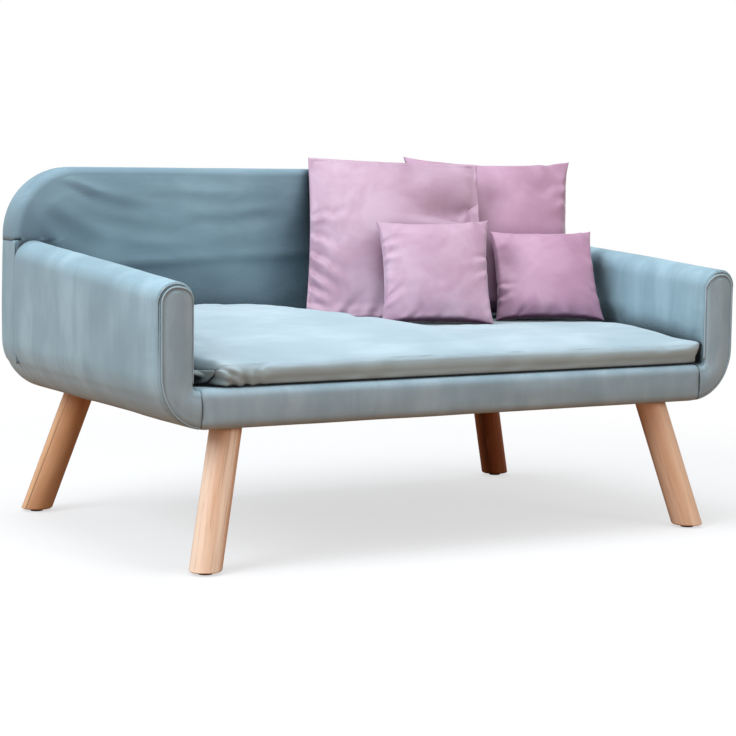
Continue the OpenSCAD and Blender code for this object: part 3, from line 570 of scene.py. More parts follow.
def makeFacing(side):
    inner = armRoute[archTop::-1]
    outer = armRoute[archTop:]
    half = math.pi / 2
    steps = frontPanel["roundSteps"]
    points = []
    for innerAt, outerAt in zip(inner, outer):
        fromAngle, toAngle = seamAngle(*innerAt), seamAngle(*outerAt)
        row = [edgePoint(*innerAt, fromAngle + (half - fromAngle) * k / steps) for k in range(steps)]
        a, b = edgePoint(*innerAt, half), edgePoint(*outerAt, half)
        wide = min(1.0, (b - a).length / (20 * mm))
        for k in range(frontPanel["across"] + 1):
            w = k / frontPanel["across"]
            p = a.lerp(b, w)
            p.y -= frontPanel["dome"] * wide * math.sin(math.pi * w) ** 0.8
            row.append(p)
        row += [edgePoint(*outerAt, half + (toAngle - half) * k / steps) for k in range(1, steps + 1)]
        points += row
    columns = 2 * steps + frontPanel["across"] + 1
    piece = newPiece(f"armFrontPanel{side.title()}", onSide(side, points), gridFaces(len(inner), columns),
                     litFrontVelvet, "sofa", [f"arm_facing_{side}"])
    pushOut(piece, lambda p: 0.6 * mm * ripple((p[0] * 1.5, 0, p[2] * 0.6), 0.04, 7.7))
    thicken(piece, clothThickness)


def tube(path, radius, count=10):
    points = []
    for k, p in enumerate(path):
        ahead = (path[min(k + 1, len(path) - 1)] - path[max(k - 1, 0)]).normalized()
        across = ahead.cross(Vector((0, 1, 0))).normalized()
        along = across.cross(ahead)
        for j in range(count):
            a = 2 * math.pi * j / count
            points.append(p + radius * (math.cos(a) * across + math.sin(a) * along))
    faces = gridFaces(len(path), count, 0, True)
    faces += [tuple(range(count)), tuple(range(len(points) - count, len(points)))]
    return points, faces


# welt: velvet wrapped round a cord and sewn into the seam, with the cover's edge stitched down beside it
def makeWelt(side):
    route = [at for at in armRoute if at[0] in ("inner", "arch", "outer", "low")]
    path = [edgePoint(*at, seamAngle(*at)) + Vector((0, -0.5 * mm, 0)) for at in route]
    points, faces = tube(path, frontPanel["weltRadius"])
    outside = [at for at in route if at[0] in ("outer", "low") or (at[0] == "arch" and at[1] > 0.3)]
    path = []
    for at in outside:
        inset = frontPanel["stitchInset"] * seamInsetAt(*at) / sofa["seamInset"]
        path.append(edgePoint(*at, seamAngle(*at, inset)))
    morePoints, moreFaces = tube(path, frontPanel["stitchRadius"], 8)
    faces += [tuple(i + len(points) for i in face) for face in moreFaces]
    points += morePoints
    newPiece(f"armWelt{side.title()}", onSide(side, points), faces, litWeltVelvet, "sofa",
             [f"arm_welt_{side}"])


rail = {
    "bulge": 2.2 * mm,
    "wave": 0.7 * mm,
    "waveSize": 0.045,
    "facing": 10 * mm,      # the swell is on the front face only
    "seamReach": 12 * mm,   # the swell dies out towards the seams
    "seamDip": 0.9 * mm,
    "seamWidth": 3 * mm,
}


def makeRail():
    radius = sofa["edgeRadius"]
    front, top, under = sofa["front"], sofa["deck"], sofa["under"]
    section = [(y, top) for y in spaced(sofa["railRear"], front + radius, clothStep)]
    section += [(front + radius - s, top - radius + c) for s, c in roundOver(radius, 8)[1:]]
    section += [(front, z) for z in spaced(top - radius, under + radius, 4 * mm)[1:]]
    section += [(front + radius - s, under + radius - c) for s, c in roundOver(radius, 8, 90, 0)[1:]]
    section += [(y, under) for y in spaced(front + radius, sofa["railRear"], clothStep)[1:]]
    xs = spaced(-sofa["seamX"], sofa["seamX"], 5 * mm)
    points = [(x, y, z) for x in xs for y, z in section]
    # the lower edge rises with the sofa's rounded lower corners
    low = sofa["lowRadius"]
    for k, (x, y, z) in enumerate(points):
        past = max(0.0, abs(x) - (sofa["side"] - low))
        lift = low - math.sqrt(low * low - past * past)
        points[k] = (x, y, z + lift * max(0.0, (top - z) / (top - under)))
    piece = newPiece("railCover", points, gridFaces(len(xs), len(section)), litFrontVelvet, "sofa",
                     ["rail_cover"])

    def swell(p):
        fromSeam = sofa["seamX"] - abs(p[0])
        height = (p[2] - under) / (top - under)
        facing = math.exp(-((p[1] - front) / rail["facing"]) ** 2)
        full = rail["bulge"] * (1 - (2 * height - 1) ** 2)
        full += rail["wave"] * ripple((p[0] * 0.5, 0, p[2] * 2), rail["waveSize"], 2.2)
        full *= facing * (1 - math.exp(-(fromSeam / rail["seamReach"]) ** 2))
        return full - rail["seamDip"] * math.exp(-(fromSeam / rail["seamWidth"]) ** 2)

    pushOut(piece, swell)
    thicken(piece, clothThickness)


backFolds = {
    "swell": 5 * mm,
    "creaseHeight": 396 * mm,    # a long crease across the back, at x = -200 mm
    "creaseRise": 0.035,
    "creaseWander": 5 * mm,
    "creaseDepth": 4.4 * mm,
    "creaseWidth": 10 * mm,
    "creaseLip": (1.4 * mm, 11 * mm, 9 * mm),    # height, place above the crease, half width
    "roll": 4 * mm,              # the foam is fuller at the left end, between these places in x
    "rollIn": (-488 * mm, -388 * mm),
    "rollOut": (-370 * mm, -90 * mm),
    "rollUp": (350 * mm, 440 * mm),
    "waves": ((1.3 * mm, 0.12, 1.4, 8.0), (0.35 * mm, 0.035, 1.0, 3.0)),   # height, size, stretch, seed
    "edge": 26 * mm,             # the folds die out within this much of the rounded edge
    "columns": 161,
    # drawn folds, as (x, z, length, angle, half width, height), in mm and degrees
    "drawn": [(-405, 533, 95, -24, 6, 2.6), (-350, 515, 150, -17, 9, 2.2), (-395, 470, 120, -28, 12, 2.2),
              (-300, 478, 170, -12, 14, 1.8), (-200, 520, 160, -5, 10, 1.2), (-120, 484, 160, 1, 9, 2.0),
              (-445, 455, 90, -55, 10, 1.8), (-250, 436, 150, -8, 12, 1.4)],
}


def ramp(value, limits):
    return smooth((value - limits[0]) / (limits[1] - limits[0]))


# height of the front of the back over its plain plane: plump foam, a long tension crease, and folds drawn
# down from the upper left corner
def backSwell(x, z):
    f = backFolds
    high = (z - sofa["deck"]) / (sofa["backTop"] - sofa["deck"])
    plump = max(0.0, 1 - (2 * high - 1) ** 4) * max(0.0, 1 - (x / sofa["side"]) ** 6)
    rise = f["swell"] * plump
    creaseZ = f["creaseHeight"] + (x + 200 * mm) * f["creaseRise"]
    creaseZ += f["creaseWander"] * ripple((x, 0, 0), 0.3, 1.0)
    d = (z - creaseZ) / f["creaseWidth"]
    rise -= f["creaseDepth"] * (0.5 - 0.5 * math.tanh(d * 1.6)) * math.exp(-max(0, -d) * 0.1)
    lip, above, lipWidth = f["creaseLip"]
    rise += lip * math.exp(-((z - creaseZ - above) / lipWidth) ** 2)
    for foldX, foldZ, long, angle, wide, height in f["drawn"]:
        a = math.radians(angle)
        dx, dz = x - foldX * mm, z - foldZ * mm
        along, across = dx * math.cos(a) + dz * math.sin(a), dz * math.cos(a) - dx * math.sin(a)
        across += 5 * mm * ripple((x, 0, z), 0.07, foldZ * 0.1)
        fade = math.exp(-(2 * along / (long * mm)) ** 4)
        s = across / (wide * mm)
        rise += height * mm * fade * (math.exp(-s * s) - 0.8 * math.exp(-((s + 1.7) / 1.1) ** 2))
    for height, size, stretch, seed in f["waves"]:
        rise += height * ripple((x, 0, z * stretch), size, seed)
    roll = ramp(x, f["rollIn"]) * (1 - ramp(x, f["rollOut"])) * ramp(z, f["rollUp"])
    return rise + f["roll"] * roll


def makeBack():
    radius = sofa["edgeRadius"]
    corner = sofa["backRadius"] - radius
    sideX = sofa["side"] - radius
    cornerZ = sofa["backTop"] - sofa["backRadius"]
    bottom = sofa["deck"] - 11 * mm
    seam = sofa["sideSeam"]
    rows = [(z, sofa["side"] - 1 * mm) for z in spaced(bottom, seam - 0.5 * mm, 5 * mm)]
    rows += [(z, sideX) for z in (seam, cornerZ)]
    rows += [(cornerZ + s, sideX - corner + c) for s, c in roundOver(corner, 24)[1:]]
    columns = backFolds["columns"]
    points = []
    for z, reach in rows:
        for x in np.linspace(-reach, reach, columns):
            points.append((x, sofa["backFront"] - backSwell(x, z) * edgeFade(x, z), z))
    faces = gridFaces(len(rows), columns)

    # edge band: front edge, top and sides, and rear edge, along the outline from seam to seam
    outline = [(-reach, z) for z, reach in rows if z >= seam]
    outline += [(x, rows[-1][0]) for x in np.linspace(-rows[-1][1], rows[-1][1], columns)[1:-1]]
    outline += [(reach, z) for z, reach in reversed(rows) if z >= seam]
    directions = []
    for x, z in outline:
        cx = max(-(sideX - corner), min(sideX - corner, x))
        out = Vector((x - cx, max(0.0, z - cornerZ)))
        directions.append(out.normalized() if out.length > 1e-6 else Vector((math.copysign(1, x), 0)))
    depth = sofa["rear"] - sofa["backFront"]
    band = [(0.0, 0.0)]
    band += [(s, radius - c) for s, c in roundOver(radius, 9)[1:]]
    band += [(radius, y) for y in spaced(radius, depth - radius, clothStep)[1:]]
    band += [(s, depth - radius + c) for s, c in roundOver(radius, 9, 90, 0)[1:]]
    first = len(points)
    for out, back in band:
        swell = 1.2 * mm * math.sin(math.pi * back / depth) * (out / radius)
        reach = out + swell
        for (x, z), way in zip(outline, directions):
            points.append((x + reach * way[0], sofa["backFront"] + back, z + reach * way[1]))
    faces += gridFaces(len(band), len(outline), first)
    piece = newPiece("backCover", points, faces, shadedBackVelvet, "sofa", ["back_cover"])
    pushOut(piece, lambda p: 0.3 * mm * ripple(p, 0.06, 6.0))
    thicken(piece, clothThickness)


# folds die out at the rounded edge and behind the arms
def edgeFade(x, z):
    radius = sofa["edgeRadius"]
    cornerZ = sofa["backTop"] - sofa["backRadius"]
    inX = max(0.0, abs(x) - (sofa["side"] - sofa["backRadius"]))
    inZ = max(0.0, z - cornerZ)
    if inZ > 0:
        left = sofa["backRadius"] - radius - math.hypot(inX, inZ)
    else:
        left = sofa["side"] - radius - abs(x)
    return max(0.0, min(1.0, left / backFolds["edge"])) ** 0.8


rearCloth = {
    "columns": 121,
    "edge": 20 * mm,
    "full": 0.8 * mm,
    "wave": 1.0 * mm,
    "waveSize": 0.2,
    "clear": 0.2 * mm,      # over the board behind it
}


def makeRearPanel():
    radius = sofa["edgeRadius"]
    top = sofa["backRadius"] - radius
    low = sofa["lowRadius"] - radius
    sideX = sofa["side"] - radius
    rows = []
    lowZ = sofa["under"] + sofa["lowRadius"]
    topZ = sofa["backTop"] - sofa["backRadius"]
    rows += [(lowZ + s, sideX - low + c) for s, c in roundOver(low, 18, -90, 0)]
    rows += [(z, sideX) for z in spaced(lowZ, topZ, clothStep)[1:]]
    rows += [(topZ + s, sideX - top + c) for s, c in roundOver(top, 20)[1:]]
    columns = rearCloth["columns"]
    points = []
    for z, reach in rows:
        for x in np.linspace(-reach, reach, columns):
            fromEdge = min(reach - abs(x), z - rows[0][0], rows[-1][0] - z)
            edge = max(0.0, min(1.0, fromEdge / rearCloth["edge"]))
            swell = rearCloth["wave"] * ripple((x, 0, z), rearCloth["waveSize"], 5.0) + rearCloth["full"]
            out = rearCloth["clear"] + swell * edge - rearCloth["full"] * (1 - edge)
            points.append((x, sofa["rear"] + out, z))
    faces = gridFaces(len(rows), columns)
    # lower edge, turned in under the base
    first = len(points)
    section = [(sofa["rear"] - radius + c, sofa["under"] + radius - s) for s, c in roundOver(radius, 8)]
    section.append((sofa["panelFront"], sofa["under"]))
    xs = spaced(-sofa["turnX"], sofa["turnX"], clothStep * 2)
    points += [(x, y, z) for x in xs for y, z in section]
    faces += gridFaces(len(xs), len(section), first)
    piece = newPiece("rearPanel", points, faces, sofaVelvet, "sofa", ["outer_back_cover"])
    thicken(piece, clothThickness)


# cloth over the platform under the seat cushion, tucked down at its edges and pressed into soft waves
def makeDeckCover():
    low, high = boxOf("deck_cover")
    tuck, tuckWidth = 1.6 * mm, 4 * mm
    points = []
    xs, ys = spaced(low[0], high[0], clothStep), spaced(low[1], high[1], clothStep)
    for x in xs:
        for y in ys:
            fromEdge = min(x - low[0], high[0] - x, high[1] - y)
            dip = tuck * math.exp(-(fromEdge / tuckWidth) ** 2)
            dip += 0.35 * mm * (1 + ripple((x, y, 0), 0.09, 4.0))
            dip += 0.25 * mm * (1 + ripple((x, y * 0.4, 0), 0.03, 8.0))
            points.append((x, y, high[2] - min(tuck, dip)))
    piece = newPiece("deckCover", points, gridFaces(len(xs), len(ys)), deckVelvet, "sofa",
                     ["deck_cover"])
    thicken(piece, thinCloth)


# dust cloth stapled under the base: taut at the staples, slack between them
dustSlack = {
    "stapleStep": 92 * mm,
    "sag": 2.6 * mm,
    "waves": ((1.8 * mm, 0.12, 0.5, 2.0), (0.8 * mm, 0.04, 1.0, 6.0)),    # height, size, stretch, seed
    "tautEdge": 90 * mm,
    "pull": (0.5 * mm, 16 * mm),            # height and width of the puckers at the staples
    "legPlace": (300 * mm, 190 * mm),       # the cloth is taut round the legs' blocks, from here out
    "legClear": 40 * mm,
    "legPull": 60 * mm,
}


def makeDustCover():
    d = dustSlack
    low, high = boxOf("dust_cover")
    points = []
    xs, ys = spaced(low[0], high[0], clothStep), spaced(low[1], high[1], clothStep)
    for x in xs:
        for y in ys:
            fromEdge = min(x - low[0], high[0] - x, y - low[1], high[1] - y)
            fromLegs = math.hypot(max(0, abs(x) - d["legPlace"][0]), max(0, abs(y) - d["legPlace"][1]))
            slack = smooth(fromEdge / d["tautEdge"]) * (1 - smooth(fromLegs / d["legClear"]))
            sag = d["sag"] + sum(height * ripple((x, y * stretch, 0), size, seed)
                                 for height, size, stretch, seed in d["waves"])
            pull = d["pull"][0] * math.exp(-(fromEdge / d["pull"][1]) ** 2)
            pull *= math.cos(2 * math.pi * (x + y) / d["stapleStep"])
            drop = slack * sag + max(0, pull) * (fromLegs < d["legPull"])
            points.append((x, y, low[2] + 0.6 * mm - drop))
    piece = newPiece("dustCover", points, gridFaces(len(xs), len(ys)), dustCloth, "sofa",
                     ["dust_cover"])
    thicken(piece, thinCloth)


for side in ("left", "right"):
    makeArm(side)
    makeFacing(side)
    makeWelt(side)
makeRail()
makeBack()
makeRearPanel()
makeDeckCover()
makeDustCover()
say("upholstery made")


# legs, each from its foot, splayed out, to its top under the base
legs = {
    "diameter": 46 * mm,
    "footRound": 2.5 * mm,
    "footSteps": 5,
    "handTurned": 0.004,     # how far from round, as a share of the radius
    "rings": 60,
    "around": 48,
    "topIn": {-1: (128 * mm, 48 * mm), 1: (116 * mm, 48 * mm)},    # front pair, rear pair
    "splay": {-1: (50 * mm, 40 * mm), 1: (60 * mm, 40 * mm)},
    # painted light and shade: the four legs are one beech, given lit and shaded tones, palest at the front
    # left and darkest at the rear right
    "wood": {
        "leg_front_left": ("#F8E0C6", "#D8A67E"),
        "leg_front_right": ("#ECC7A6", "#C88E64"),
        "leg_rear_left": ("#E3B588", "#B87C4E"),
        "leg_rear_right": ("#84421F", "#562510"),
    },
}


def makeLeg(node, sx, sy, seed):
    low, high = boxOf(node)
    topX, topY = legs["topIn"][sy]
    outX, outY = legs["splay"][sy]
    top = Vector((sx * (sofa["side"] - topX), sy * (sofa["rear"] - topY), high[2]))
    foot = Vector((top.x + sx * outX, top.y + sy * outY, low[2]))
    axis = (top - foot).normalized()
    sideways = Vector((0, 0, 1)).cross(axis).normalized()
    across = axis.cross(sideways)
    rings, around, edge = legs["rings"], legs["around"], legs["footRound"]
    points = []
    for k in range(rings):
        t = k / (rings - 1)
        centre = foot.lerp(top, t)
        for j in range(around):
            a = 2 * math.pi * j / around
            grain = noise.noise(Vector((math.cos(a), math.sin(a), t * 5 + seed)))
            radius = legs["diameter"] / 2 * (1 + legs["handTurned"] * grain)
            p = centre + radius * (math.cos(a) * sideways + math.sin(a) * across)
            # each ring is slid along the leg so that both ends are level
            points.append(p - axis * ((p.z - centre.z) / axis.z))
    faces = gridFaces(rings, around, 0, True)
    # foot: rounded edge, then a level face
    first = len(points)
    steps = legs["footSteps"]
    for s, c in roundOver(edge, steps + 1)[1:]:
        for j in range(around):
            p = points[j]
            q = p + (Vector((foot.x, foot.y, p.z)) - p).normalized() * (edge - c)
            q.z = foot.z + edge - s
            points.append(q)
    for j in range(around):
        points[j] = points[j] + axis * (edge / axis.z)
    for j in range(around):
        n = (j + 1) % around
        faces.append((j, n, first + n, first + j))
    faces += gridFaces(steps, around, first, True)
    faces.append(tuple(first + (steps - 1) * around + j for j in range(around)))
    faces.append(tuple(reversed([(rings - 1) * around + j for j in range(around)])))
    end, side = (word.title() for word in node.split("_")[1:])
    wood = turnedBeech(f"turnedBeechLeg{end}{side}", axis, (foot + top) / 2, seed, *legs["wood"][node])
    newPiece(f"leg{end}{side}", points, faces, wood, "sofa", [node])


makeLeg("leg_front_left", -1, -1, 1)
makeLeg("leg_front_right", 1, -1, 2)
makeLeg("leg_rear_left", -1, 1, 3)
makeLeg("leg_rear_right", 1, 1, 4)
say("legs turned")


# seat cushion
seatLow, seatHigh = boxOf("seat_cushion_cover")
seat = {
    "height": 30 * mm,       # front edge's top above the platform
    "sag": 4 * mm,           # the front edge is lower at its ends
    "crown": 27 * mm,        # extra height beside the scatter cushions
    "crownFrom": 15 * mm,    # behind the front plane
    "crownRise": 330 * mm,
    "crownEdge": (-95 * mm, 122 * mm),    # a point on the slanting line where the crown ends
    "crownTurn": 33,
    "crownWidth": 80 * mm,
    "belly": 23 * mm,        # the filling's rise behind the edge seams
    "bellyDepth": 175 * mm,
    "edgeRound": 8 * mm,
    "overhang": 10 * mm,     # the soft edge stands out over the rail's rounded top
    "rearGap": 12 * mm,      # the cushion passes the full part of the back when it is lifted out
    "undercut": 4 * mm,      # the front face leans back a little
    "footDepth": 30 * mm,    # the lower edge is rolled under, which leaves a dark gap over the rail
    "footHeight": 2 * mm,
    "faceBulge": 1.2 * mm,
    "drawIn": 0.012,
    "cap": 4 * mm,
    "fineStep": 4 * mm,      # mesh steps in the crumpled left end, up to fineEnd, and elsewhere
    "step": 8 * mm,
    "fineEnd": 110 * mm,
    "cushionFloor": 309.2 * mm,           # the top stays below the scatter cushions,
    "cushionsFrom": (-70 * mm, -90 * mm),    # which stand to the right of and behind this point
    "endRoom": 2 * mm,
}
seatFront = seatLow[1] - seat["overhang"]
seatRear = seatHigh[1] - seat["rearGap"]
seatMiddleY = (seatFront + seatRear) / 2
seatHalf = ((seatHigh[0] - seatLow[0]) / 2, (seatRear - seatFront) / 2)


def seatTop(x, y):
    turn = math.radians(seat["crownTurn"])
    edgeX, edgeY = seat["crownEdge"]
    away = (edgeX - x) * math.cos(turn) + (edgeY - y) * math.sin(turn)
    along = smooth((y - sofa["front"] - seat["crownFrom"]) / seat["crownRise"])
    crown = seat["crown"] * along * smooth(away / seat["crownWidth"])
    behind = min(1, max(0, (y - seatFront) / seat["bellyDepth"]))
    belly = seat["belly"] * (1 - (1 - behind) ** 2)
    fall = (1 - min(1, abs(x / seatHalf[0])) ** 30) ** 0.35
    fall *= (1 - min(1, max(0, (y - seatMiddleY) / seatHalf[1])) ** 8) ** 0.45
    edge = seat["height"] - seat["sag"] * (x / seatHalf[0]) ** 2
    return seatLow[2] + edge * (0.75 + 0.25 * fall) + (crown + belly) * fall


def seatPlan(u, v, shrink):
    x = (seatHalf[0] - shrink) * u * (1 - seat["drawIn"] * (1 - abs(v) ** 6))
    y = seatMiddleY + (seatHalf[1] - shrink) * v * (1 - seat["drawIn"] * abs(u) ** 12)
    return x, y


def makeSeat():
    r = seat["edgeRound"]
    fineEnd = -1 + seat["fineEnd"] / seatHalf[0]
    us = np.concatenate([spaced(-1, fineEnd, seat["fineStep"] / seatHalf[0]),
                         spaced(fineEnd, 1, seat["step"] / seatHalf[0])[1:]])
    vs = spaced(-1, 1, seat["step"] / seatHalf[1])
    outline = [(u, -1) for u in us] + [(1, v) for v in vs[1:]] + [(u, 1) for u in us[::-1][1:]]
    outline += [(-1, v) for v in vs[::-1][1:-1]]
    points = []
    for u in us:
        for v in vs:
            x, y = seatPlan(u, v, r)
            points.append((x, y, seatTop(x, y)))
    faces = gridFaces(len(us), len(vs))
    first = len(points)
    # side, as (how far in, share of the top's height, height added): rounded edge, face, rolled foot
    foot = seatLow[2] + seat["footHeight"]
    section = [(r - s, 1, c - r) for s, c in roundOver(r, 8)]
    for t in np.linspace(0, 1, 7)[1:]:
        bulge = seat["faceBulge"] * math.sin(math.pi * t)
        section.append((seat["undercut"] * t - bulge, 1 - t, foot * t - r * (1 - t)))
    for t in np.linspace(0, 1, 11)[1:]:
        section.append((seat["undercut"] + seat["footDepth"] * t, 0, foot - seat["footHeight"] * t ** 4))
    for shrink, share, height in section:
        for u, v in outline:
            z = share * seatTop(*seatPlan(u, v, r)) + height
            points.append((*seatPlan(u, v, shrink), z))
    faces += gridFaces(len(section), len(outline), first, True)
    first = len(points)
    inset = seat["undercut"] + seat["footDepth"]
    points += [(*seatPlan(u, v, inset), seatLow[2]) for u in us for v in vs]
    faces += gridFaces(len(us), len(vs), first)
    return newPiece("seatCushion", points, faces, litSeatVelvet, "seat_cushion",
                    ["seat_cushion_cover", "seat_cushion_fill"])


# Cloth's settings for a cushion's cover over its filling
blowing = {
    "quality": 6,
    "mass": 0.25,
    "tension_stiffness": 15.0,
    "compression_stiffness": 15.0,
    "shear_stiffness": 5.0,
    "bending_stiffness": 3.0,
    "air_damping": 4,
    "use_pressure": True,
}


def verticesOf(piece):
    return np.array([v.co[:] for v in piece.data.vertices])


def moveVertices(piece, places):
    for vertex, place in zip(piece.data.vertices, places):
        vertex.co = place
    piece.data.update()


# the cover is blown out for a few frames, with no point moved further than its cap
def settle(piece, pressure, frames, capAt):
    start = verticesOf(piece)
    cloth = piece.modifiers.new("cloth", "CLOTH")
    for name, value in blowing.items():
        setattr(cloth.settings, name, value)
    cloth.settings.uniform_pressure_force = pressure
    cloth.settings.effector_weights.gravity = 0
    cloth.collision_settings.use_collision = False
    cloth.collision_settings.use_self_collision = False
    cloth.point_cache.frame_start = 1
    cloth.point_cache.frame_end = frames
    scene = bpy.context.scene
    scene.frame_start = 1
    scene.frame_end = frames
    for k in range(1, frames + 1):
        scene.frame_set(k)
    applyModifiers(piece)
    scene.frame_set(1)
    move = verticesOf(piece) - start
    length = np.linalg.norm(move, axis=1, keepdims=True)
    caps = np.array([[capAt(p)] for p in start])
    moveVertices(piece, start + move * np.minimum(1, caps / np.maximum(length, 1e-9)))


def refine(piece):
    sub = piece.modifiers.new("subdivision", "SUBSURF")
    sub.levels = 1
    sub.render_levels = 1
    applyModifiers(piece)


everywhere = (-2, -1)       # in metres, before the sofa's first point, so that a ramp is full all over it
seatCreases = {
    "softFrom": (3 * mm, 9 * mm),          # heights between which the face turns loose
    "sideNormal": (0.2, 0.7),
    "crumple": (46 * mm, 40 * mm),         # crumpled corner, from the left and from the front
    "tuck": 44 * mm,                       # the corner is pushed back beside the arm
    "tuckLeft": (6 * mm, 52 * mm),
    "tuckFront": (0, 115 * mm),
    "lower": 26 * mm,                      # and its lower part further still
    "lowerLeft": (0, 44 * mm),
    "lowerHeight": (5 * mm, 17 * mm),
    "lowerFront": (0, 60 * mm),
    "sink": 25 * mm,                       # its top falls
    "sinkReach": (46 * mm, 92 * mm),
    "fold": 6 * mm,
    "foldStep": 3.4 * mm,
    "foldSlant": 5 * mm,
    "puckerBand": 26 * mm,                 # puckers in the front band
    "pucker": 2 * mm,
    "puckerPlace": 72 * mm,
    "puckerWidth": 28 * mm,
    "puckerHeight": (14 * mm, 28 * mm),
    "puckerStep": 3.3 * mm,
    "bandWave": 1.3 * mm,
    "ear": (1 * mm, -3 * mm, 8 * mm),      # the right front corner stands up
    "earReach": (20 * mm, 34 * mm),
    "earHeight": (14 * mm, 28 * mm),
    "pinch": 5 * mm,                       # and the face is drawn in below it
    "pinchReach": (12 * mm, 60 * mm),
    "pinchHeight": 13 * mm,
    "pinchWidth": 8 * mm,
    # waves in the top, as (height, stretch in x, stretch in y, size, seed, ramp in x, ramp in y)
    "waves": ((1.5 * mm, 1, 1.3, 0.13, 3.0, everywhere, everywhere),
              (0.8 * mm, 0.7, 1.6, 0.04, 9.0, everywhere, everywhere),
              (3.0 * mm, 0.45, 1.8, 0.045, 14.0, everywhere, (20 * mm, 140 * mm)),
              (1.6 * mm, 1.6, 0.6, 0.04, 21.0, (-40 * mm, 60 * mm), (-160 * mm, -60 * mm))),
    "wrinkle": 3.2 * mm,                   # slanting wrinkles beside the scatter cushions
    "wrinkleStep": 9 * mm,
    "wrinklePlace": -70 * mm,
    "wrinkleWidth": 95 * mm,
    "wrinkleRear": (-90 * mm, 60 * mm),
    "topFrom": (0, 30 * mm),
}


def hill(a, b, reach):
    return math.exp(-(a / reach[0]) ** 2 - (b / reach[1]) ** 2)


# crumpled cloth at the left front corner, whose loose folds fall beside the arm
def cornerMove(p, normal, height, fromLeft, fromFront, side, above):
    c = seatCreases
    move = Vector((0, 0, 0))
    tucked = 1 - ramp(fromLeft, c["tuckLeft"])
    move.y += c["tuck"] * tucked * (1 - ramp(fromFront, c["tuckFront"]))
    lower = (1 - ramp(fromLeft, c["lowerLeft"])) * (1 - ramp(height, c["lowerHeight"]))
    move.y += c["lower"] * lower * (1 - ramp(fromFront, c["lowerFront"]))
    sunk = 1 - ramp(fromLeft / c["sinkReach"][0] + fromFront / c["sinkReach"][1], (0.6, 1.0))
    move.z -= c["sink"] * sunk * (1 - side)
    corner = hill(fromLeft, fromFront, c["crumple"])
    if corner > 0.01:
        bend = 4 * ripple((p.x, p.y, p.z * 1.3), 0.034, 2.0)
        fold = math.sin(height / c["foldStep"] + bend + fromLeft / c["foldSlant"])
        move += normal * (c["fold"] * fold * corner * (0.4 + 0.6 * side) * above)
    return move


# puckers along the front band, and the right front corner, which stands up over a drawn-in face
def frontMove(p, normal, height, fromLeft, fromFront, side, above):
    c = seatCreases
    move = Vector((0, 0, 0))
    if normal.z < 0.75 and fromFront < c["puckerBand"] and height > 2 * mm:
        place = math.exp(-((fromLeft - c["puckerPlace"]) / c["puckerWidth"]) ** 2)
        ridge = math.sin(fromLeft / c["puckerStep"] + 1.5 * ripple(p, 0.03, 5.0))
        move += normal * (c["pucker"] * place * (1 - ramp(height, c["puckerHeight"])) * ridge)
        move += normal * (c["bandWave"] * ripple((p.x * 1.3, 0, p.z * 1.5), 0.045, 6.0) * above)
    fromRight = seatHigh[0] - p.x
    ear = hill(fromRight, fromFront, c["earReach"])
    move += Vector(c["ear"]) * ear * ramp(height, c["earHeight"])
    pinch = math.exp(-((height - c["pinchHeight"]) / c["pinchWidth"]) ** 2) * side
    move.x -= c["pinch"] * pinch * hill(fromRight, fromFront, c["pinchReach"])
    return move


def topWave(p):
    c = seatCreases
    wave = 0.0
    for height, stretchX, stretchY, size, seed, alongX, alongY in c["waves"]:
        share = ramp(p.x, alongX) * ramp(p.y, alongY)
        wave += height * share * ripple((p.x * stretchX, p.y * stretchY, 0), size, seed)
    beside = math.exp(-((p.x - c["wrinklePlace"]) / c["wrinkleWidth"]) ** 2) * ramp(p.y, c["wrinkleRear"])
    slant = (p.x * 0.8 + p.y * 0.6) / c["wrinkleStep"]
    return wave + c["wrinkle"] * beside * math.sin(slant + 4 * ripple(p, 0.06, 1.0))


def creaseSeat(piece):
    c = seatCreases
    moved = []
    for vertex in piece.data.vertices:
        p, normal = vertex.co.copy(), vertex.normal
        height = p.z - seatLow[2]
        fromLeft, fromFront = p.x - seatLow[0], p.y - seatFront
        above = ramp(height, c["softFrom"])
        side = 1 - ramp(normal.z, c["sideNormal"])
        q = p + cornerMove(p, normal, height, fromLeft, fromFront, side, above)
        q += frontMove(p, normal, height, fromLeft, fromFront, side, above)
        if normal.z > 0.4:
            q += normal * topWave(p) * ramp(fromFront, c["topFrom"])
        q.z = max(q.z, seatLow[2] + 0.1 * mm)
        if p.x > seat["cushionsFrom"][0] and p.y > seat["cushionsFrom"][1]:
            q.z = min(q.z, seat["cushionFloor"])
        q.x = max(seatLow[0] - seat["endRoom"], min(seatHigh[0] + seat["endRoom"], q.x))
        q.y = min(q.y, seatRear)
        moved.append(q)
    moveVertices(piece, moved)


seatPiece = makeSeat()
settle(seatPiece, 2.0, 10, lambda p: seat["cap"] * ramp(p[2] - seatLow[2], (3 * mm, 13 * mm)))
refine(seatPiece)
creaseSeat(seatPiece)
say("seat cushion sewn")


# scatter cushions
def padAxes(turn, lean):
    sinTurn, cosTurn = math.sin(math.radians(turn)), math.cos(math.radians(turn))
    sinLean, cosLean = math.sin(math.radians(lean)), math.cos(math.radians(lean))
    across = Vector((cosTurn, -sinTurn, 0))
    up = Vector((sinTurn * sinLean, cosTurn * sinLean, cosLean))
    return across, up, Vector((-sinTurn * cosLean, -cosTurn * cosLean, sinLean))
